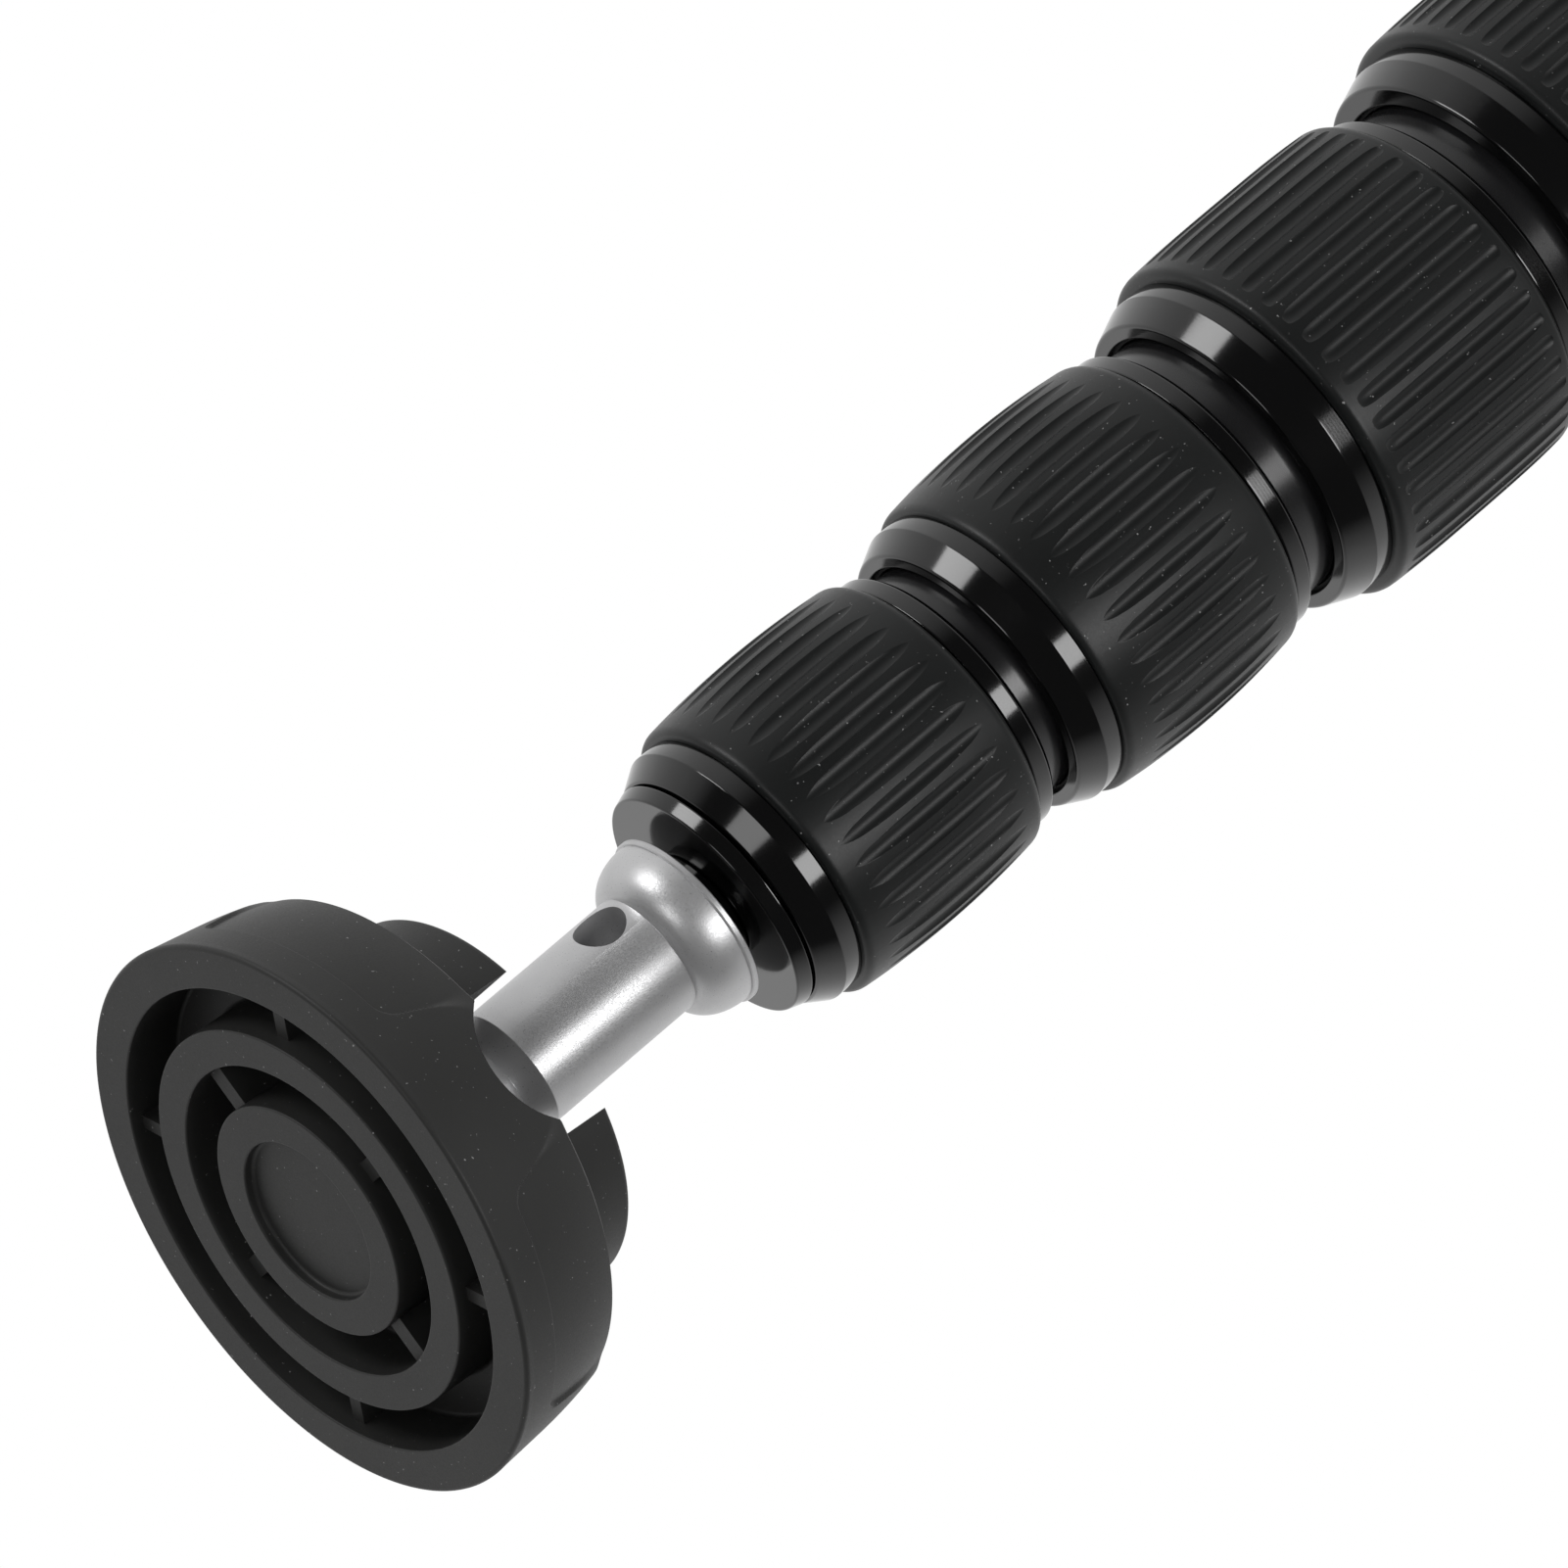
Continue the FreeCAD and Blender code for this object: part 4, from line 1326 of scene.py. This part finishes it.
@dataclass
class Head:
    """The neck, camera platform, ribbed pad, camera screw and set screws, in millimetres."""

    pad_bore: float = 7.0
    pad_play: float = 0.05
    pad_edge_high: float = 1.95
    pad_bevel: float = 0.8
    pad_land: float = 1.4
    rib_start: float = 2.0
    rib_pitch: float = 1.6
    groove_wide: float = 0.7
    groove_slope: float = 0.18
    groove_deep: float = 0.35
    screw_r: float = 3.175
    screw_pitch: float = 1.27
    root_r: float = 4.7625
    root_pitch: float = 1.5875
    root_long: float = 9.0
    root_bevel: float = 0.7
    flange_r: float = 6.3
    flange_high: float = 1.4
    tip_bevel: float = 0.6

    def pad(self) -> bpy.types.Object:
        """Make the pad with its concentric ribs.

        Returns:
            The pad.
        """
        low, high = box_mm("platform_pad")
        outer = high.x - self.pad_play
        thick = high.z - low.z
        corners: list[Corner] = [
            (self.pad_bore, 0.0),
            (outer, 0.0, 0.1),
            (outer, self.pad_edge_high, 0.3),
            (outer - self.pad_bevel, thick, 0.35)]
        radius = high.x - self.rib_start
        while radius > self.pad_bore + self.pad_land:
            corners += [
                (radius, thick, 0.08),
                (radius - self.groove_slope, thick - self.groove_deep, 0.08),
                (radius - self.groove_wide + self.groove_slope, thick - self.groove_deep, 0.08),
                (radius - self.groove_wide, thick, 0.08)]
            radius -= self.rib_pitch
        corners.append((self.pad_bore, thick, 0.3))
        return turned("platform_pad_ribbed", corners, low.z, PAD_RUBBER, round_steps=3)

    def screw(self) -> bpy.types.Object:
        """Make the camera screw with both its threads cut.

        Returns:
            The screw.
        """
        low, high = box_mm("camera_screw")
        top = high.z - low.z
        flange_top = self.root_long + self.flange_high
        root = Thread(self.root_r, self.root_pitch, self.root_bevel, self.root_long - 0.3)
        tip = Thread(self.screw_r, self.screw_pitch, flange_top + 0.3, top - self.tip_bevel)
        corners: list[Point] = [(0.0, 0.0), (self.root_r - self.root_bevel, 0.0)]
        rows = 84
        corners += [(root.radius, root.start + (root.end - root.start) * k / rows)
                    for k in range(rows + 1)]
        corners.append((self.root_r, self.root_long - 0.02))
        corners += rounded([
            (self.flange_r, self.root_long, 0.15),
            (self.flange_r, flange_top, 0.3),
            (self.screw_r, flange_top, 0.1)], 4, closed=False)
        rows = 80
        corners += [(tip.radius, tip.start + (tip.end - tip.start) * k / rows)
                    for k in range(rows + 1)]
        corners += [(self.screw_r - self.tip_bevel, top), (0.0, top)]
        bm = turned_bmesh(corners, even_turns(96))
        root.cut(bm)
        tip.cut(bm)
        return mesh_object("camera_screw_threaded", finish_bmesh(bm, low.z), PLATED_STEEL.build())

    def assemble(self) -> None:
        """Build the pad and the screw, and dress the other pieces."""
        ride(self.pad(), "section_1", "platform_pad", slot="pad_rubber")
        ride(self.screw(), "section_1", "camera_screw", slot="plated_steel")
        for node, finish in (
                ("head_neck", GLOSS_BLACK), ("camera_platform", GLOSS_BLACK),
                ("grub_screws", PLATED_STEEL)):
            dress_node(node, finish)


@dataclass
class HandGrip:
    """The hand grip on the main tube and its two trim rings, with lengths in millimetres."""

    wall: float = 4.2
    play: float = 0.06
    end_r: float = 18.6
    end_high: float = 4.6
    end_round: float = 1.6
    swell: float = 0.4
    ring_pitch: float = 4.1
    first_ring: float = 12.0
    last_ring: float = 14.0
    groove: float = 0.5
    groove_wide: float = 1.1

    def sleeve(self) -> bpy.types.Object:
        """Make the soft sleeve with its finger grooves.

        Returns:
            The sleeve.
        """
        low, high = box_mm("hand_grip")
        outer = high.x - self.play
        inner = high.x - self.wall
        long = high.z - low.z
        corners: list[Corner] = [
            (inner, 0.0),
            (self.end_r, 0.0, 0.8),
            (outer - self.swell, self.end_high, self.end_round)]
        z = self.first_ring
        while z < long - self.last_ring:
            share = 1.0 - abs(2.0 * z / long - 1.0)
            radius = outer - self.swell * (1.0 - min(1.0, share * 1.6))
            corners += [
                (radius, z, 0.5),
                (radius - self.groove, z + self.groove_wide / 2, 0.35),
                (radius, z + self.groove_wide, 0.5)]
            z += self.ring_pitch
        corners += [
            (outer - self.swell, long - self.end_high, self.end_round),
            (self.end_r, long, 0.8),
            (inner, long)]
        return turned("hand_grip_grooved", corners, low.z, GRIP_RUBBER, round_steps=3)

    def assemble(self) -> None:
        """Build the sleeve and dress its rings."""
        ride(self.sleeve(), "section_1", "hand_grip", slot="grip_rubber")
        dress_node("grip_ring_upper", GLOSS_BLACK)
        dress_node("grip_ring_lower", GLOSS_BLACK)


# Studio


@dataclass
class Studio:
    """The camera of the photograph, the lamps, the white surroundings and the floor.

    Lengths are in metres, the lens in millimetres and angles in degrees.
    """

    ball_z: float = -0.47785
    camera_place: tuple[float, float, float] = (-0.000552, -0.671673, -0.210105)
    camera_heading: float = 0.23751
    camera_pitch: float = 20.519095
    camera_roll: float = 49.680021
    camera_lens: float = 202.37
    floor_z: float = -1.70
    floor_half: float = 6.0
    lamp_distance: float = 1.3
    lamp_aim: float = 0.03
    front_light: float = 0.07
    low_light: float = 0.45
    side_light: float = 0.75
    back_light: float = 1.0

    def camera(self) -> None:
        """Set up the photograph's camera, whose place is given from the ball."""
        data = bpy.data.cameras.new("photo_camera")
        data.sensor_fit = "HORIZONTAL"
        data.sensor_width = 36.0
        data.lens = self.camera_lens
        data.clip_start = 0.01
        data.clip_end = 50.0
        item = bpy.data.objects.new("photo_camera", data)
        item.matrix_world = (
            Matrix.Translation((0.0, 0.0, self.ball_z))
            @ Matrix.Translation(self.camera_place)
            @ Matrix.Rotation(math.radians(self.camera_heading), 4, "Z")
            @ Matrix.Rotation(math.radians(90 + self.camera_pitch), 4, "X")
            @ Matrix.Rotation(math.radians(self.camera_roll), 4, "Z"))
        bpy.context.scene.collection.objects.link(item)
        bpy.context.scene.camera = item

    def softbox(self, name: str, turn: float, rise: float, size: tuple[float, float],
                light: float) -> None:
        """Hang a softbox that faces the foot of the pole.

        Args:
            name: Its name.
            turn: Its direction from the ball, in degrees to the right of the camera's side.
            rise: Its direction above the level of the ball, in degrees.
            size: Its width and height, in metres.
            light: Its brightness, where white is 1.
        """
        data = bpy.data.lights.new(name, "AREA")
        data.shape = "RECTANGLE"
        data.size, data.size_y = size
        data.energy = light * math.pi * size[0] * size[1]
        item = bpy.data.objects.new(name, data)
        centre = Vector((0.0, 0.0, self.ball_z + self.lamp_aim))
        level, way = math.radians(rise), math.radians(turn)
        ahead = Vector((
            math.cos(level) * math.sin(way), -math.cos(level) * math.cos(way), math.sin(level)))
        item.matrix_world = Matrix.Translation(centre + ahead * self.lamp_distance) @ (
            ahead.to_track_quat("Z", "Y").to_matrix().to_4x4())
        bpy.context.scene.collection.objects.link(item)

    def world(self) -> None:
        """Surround the pole with white for the camera, and with a dark front for reflections.

        The surroundings grow brighter from the camera's side to the back and to the top, and
        the brightest of the back shows white in reflections too.
        """
        world = bpy.data.worlds.new("studio")
        bpy.context.scene.world = world
        world.use_nodes = True
        tree = world.node_tree
        tree.nodes.clear()
        rays = add_node(tree, "ShaderNodeLightPath").outputs
        place = add_node(tree, "ShaderNodeTexCoord").outputs["Generated"]
        ways = add_node(tree, "ShaderNodeSeparateXYZ", linked={0: place}).outputs
        lean = calculate(tree, "MULTIPLY_ADD", ways["X"], -0.25, ways["Y"])
        rise = calculate(tree, "MULTIPLY_ADD", ways["Z"], 0.6, lean)
        back = stretch(tree, rise, (-0.82, 1.18))
        ramp = add_node(tree, "ShaderNodeValToRGB", linked={"Fac": back})
        stops = ramp.color_ramp.elements
        stops[0].position, stops[0].color = 0.19, (*[self.front_light] * 3, 1.0)
        stops[1].position, stops[1].color = 0.80, (*[self.back_light] * 3, 1.0)
        for position, level in ((0.30, self.low_light), (0.44, self.side_light)):
            stops.new(position).color = (level, level, level, 1.0)
        mirrored = calculate(
            tree, "MAXIMUM", rays["Is Glossy Ray"], rays["Is Transmission Ray"])
        behind = calculate(tree, "MULTIPLY", mirrored, stretch(tree, back, (0.74, 0.86)))
        shown_white = calculate(tree, "MAXIMUM", rays["Is Camera Ray"], behind)
        dim = add_node(tree, "ShaderNodeBackground", linked={"Color": ramp.outputs["Color"]})
        white = add_node(
            tree, "ShaderNodeBackground", {"Color": (1.0, 1.0, 1.0, 1.0), "Strength": 1.0})
        mix = add_node(tree, "ShaderNodeMixShader", linked={
            0: shown_white, 1: dim.outputs[0], 2: white.outputs[0]})
        add_node(tree, "ShaderNodeOutputWorld", linked={"Surface": mix.outputs[0]})

    def floor(self) -> None:
        """Lay a pale floor far below the hanging pole."""
        bm = bmesh.new()
        bmesh.ops.create_grid(bm, x_segments=1, y_segments=1, size=self.floor_half / MM)
        mesh = finish_bmesh(bm, self.floor_z / MM)
        material = bpy.data.materials.new("pale_floor")
        material.use_nodes = True
        shader = material.node_tree.nodes["Principled BSDF"]
        shader.inputs["Base Color"].default_value = (0.85, 0.85, 0.85, 1.0)
        shader.inputs["Roughness"].default_value = 0.9
        floor = mesh_object("floor", mesh, material)
        floor.visible_glossy = False

    def assemble(self) -> None:
        """Build the studio."""
        self.camera()
        self.world()
        self.floor()
        self.softbox("softbox_right", 28.5, 10.0, (0.46, 0.75), 7.5)
        self.softbox("softbox_low_left", -70.0, -16.0, (0.60, 0.42), 7.0)
        self.softbox("softbox_low", -25.0, -43.0, (0.56, 0.37), 3.2)
        bpy.context.scene.view_settings.view_transform = "Standard"


LOCKS = (
    TwistLock(
        number=1, tube_r=16.0, next_tube_r=14.4, skin=1.65, cone_drop=0.95, cone_high=2.7,
        sleeve_long=21.8, flutes=52, middle_r=19.05, shoulder_r=18.75, edge_r=17.95,
        flute_end=FluteEnd.ROUND, flute_low=1.5, flute_high=1.5, barrel_power=3.4),
    TwistLock(
        number=2, tube_r=14.4, next_tube_r=12.8, skin=1.3, cone_drop=1.1, cone_high=2.7,
        sleeve_long=21.3, flutes=46, middle_r=17.05, shoulder_r=16.75, edge_r=15.95,
        flute_end=FluteEnd.ROUND, flute_low=1.5, flute_high=1.2, barrel_power=3.4),
    TwistLock(
        number=3, tube_r=12.8, next_tube_r=11.2, skin=1.2, cone_drop=1.15, cone_high=2.3,
        sleeve_long=20.2, flutes=42, middle_r=15.3, shoulder_r=14.6, edge_r=14.25,
        flute_end=FluteEnd.LENS, flute_low=1.2, flute_high=1.4, barrel_power=2.0),
    TwistLock(
        number=4, tube_r=11.2, next_tube_r=9.6, skin=1.4, cone_drop=1.3, cone_high=2.1,
        sleeve_long=20.0, flutes=38, middle_r=14.0, shoulder_r=13.4, edge_r=12.9,
        flute_end=FluteEnd.LENS, flute_low=1.75, flute_high=1.8, barrel_power=2.0),
)


def main() -> None:
    logging.basicConfig(level=logging.INFO, format="%(name)s %(message)s")
    Studio().assemble()
    Tubes().assemble()
    for lock in LOCKS:
        lock.assemble()
    EndPlug().assemble()
    BallStud().assemble()
    RubberFoot().assemble()
    Head().assemble()
    HandGrip().assemble()


if __name__ == "__main__":
    main()
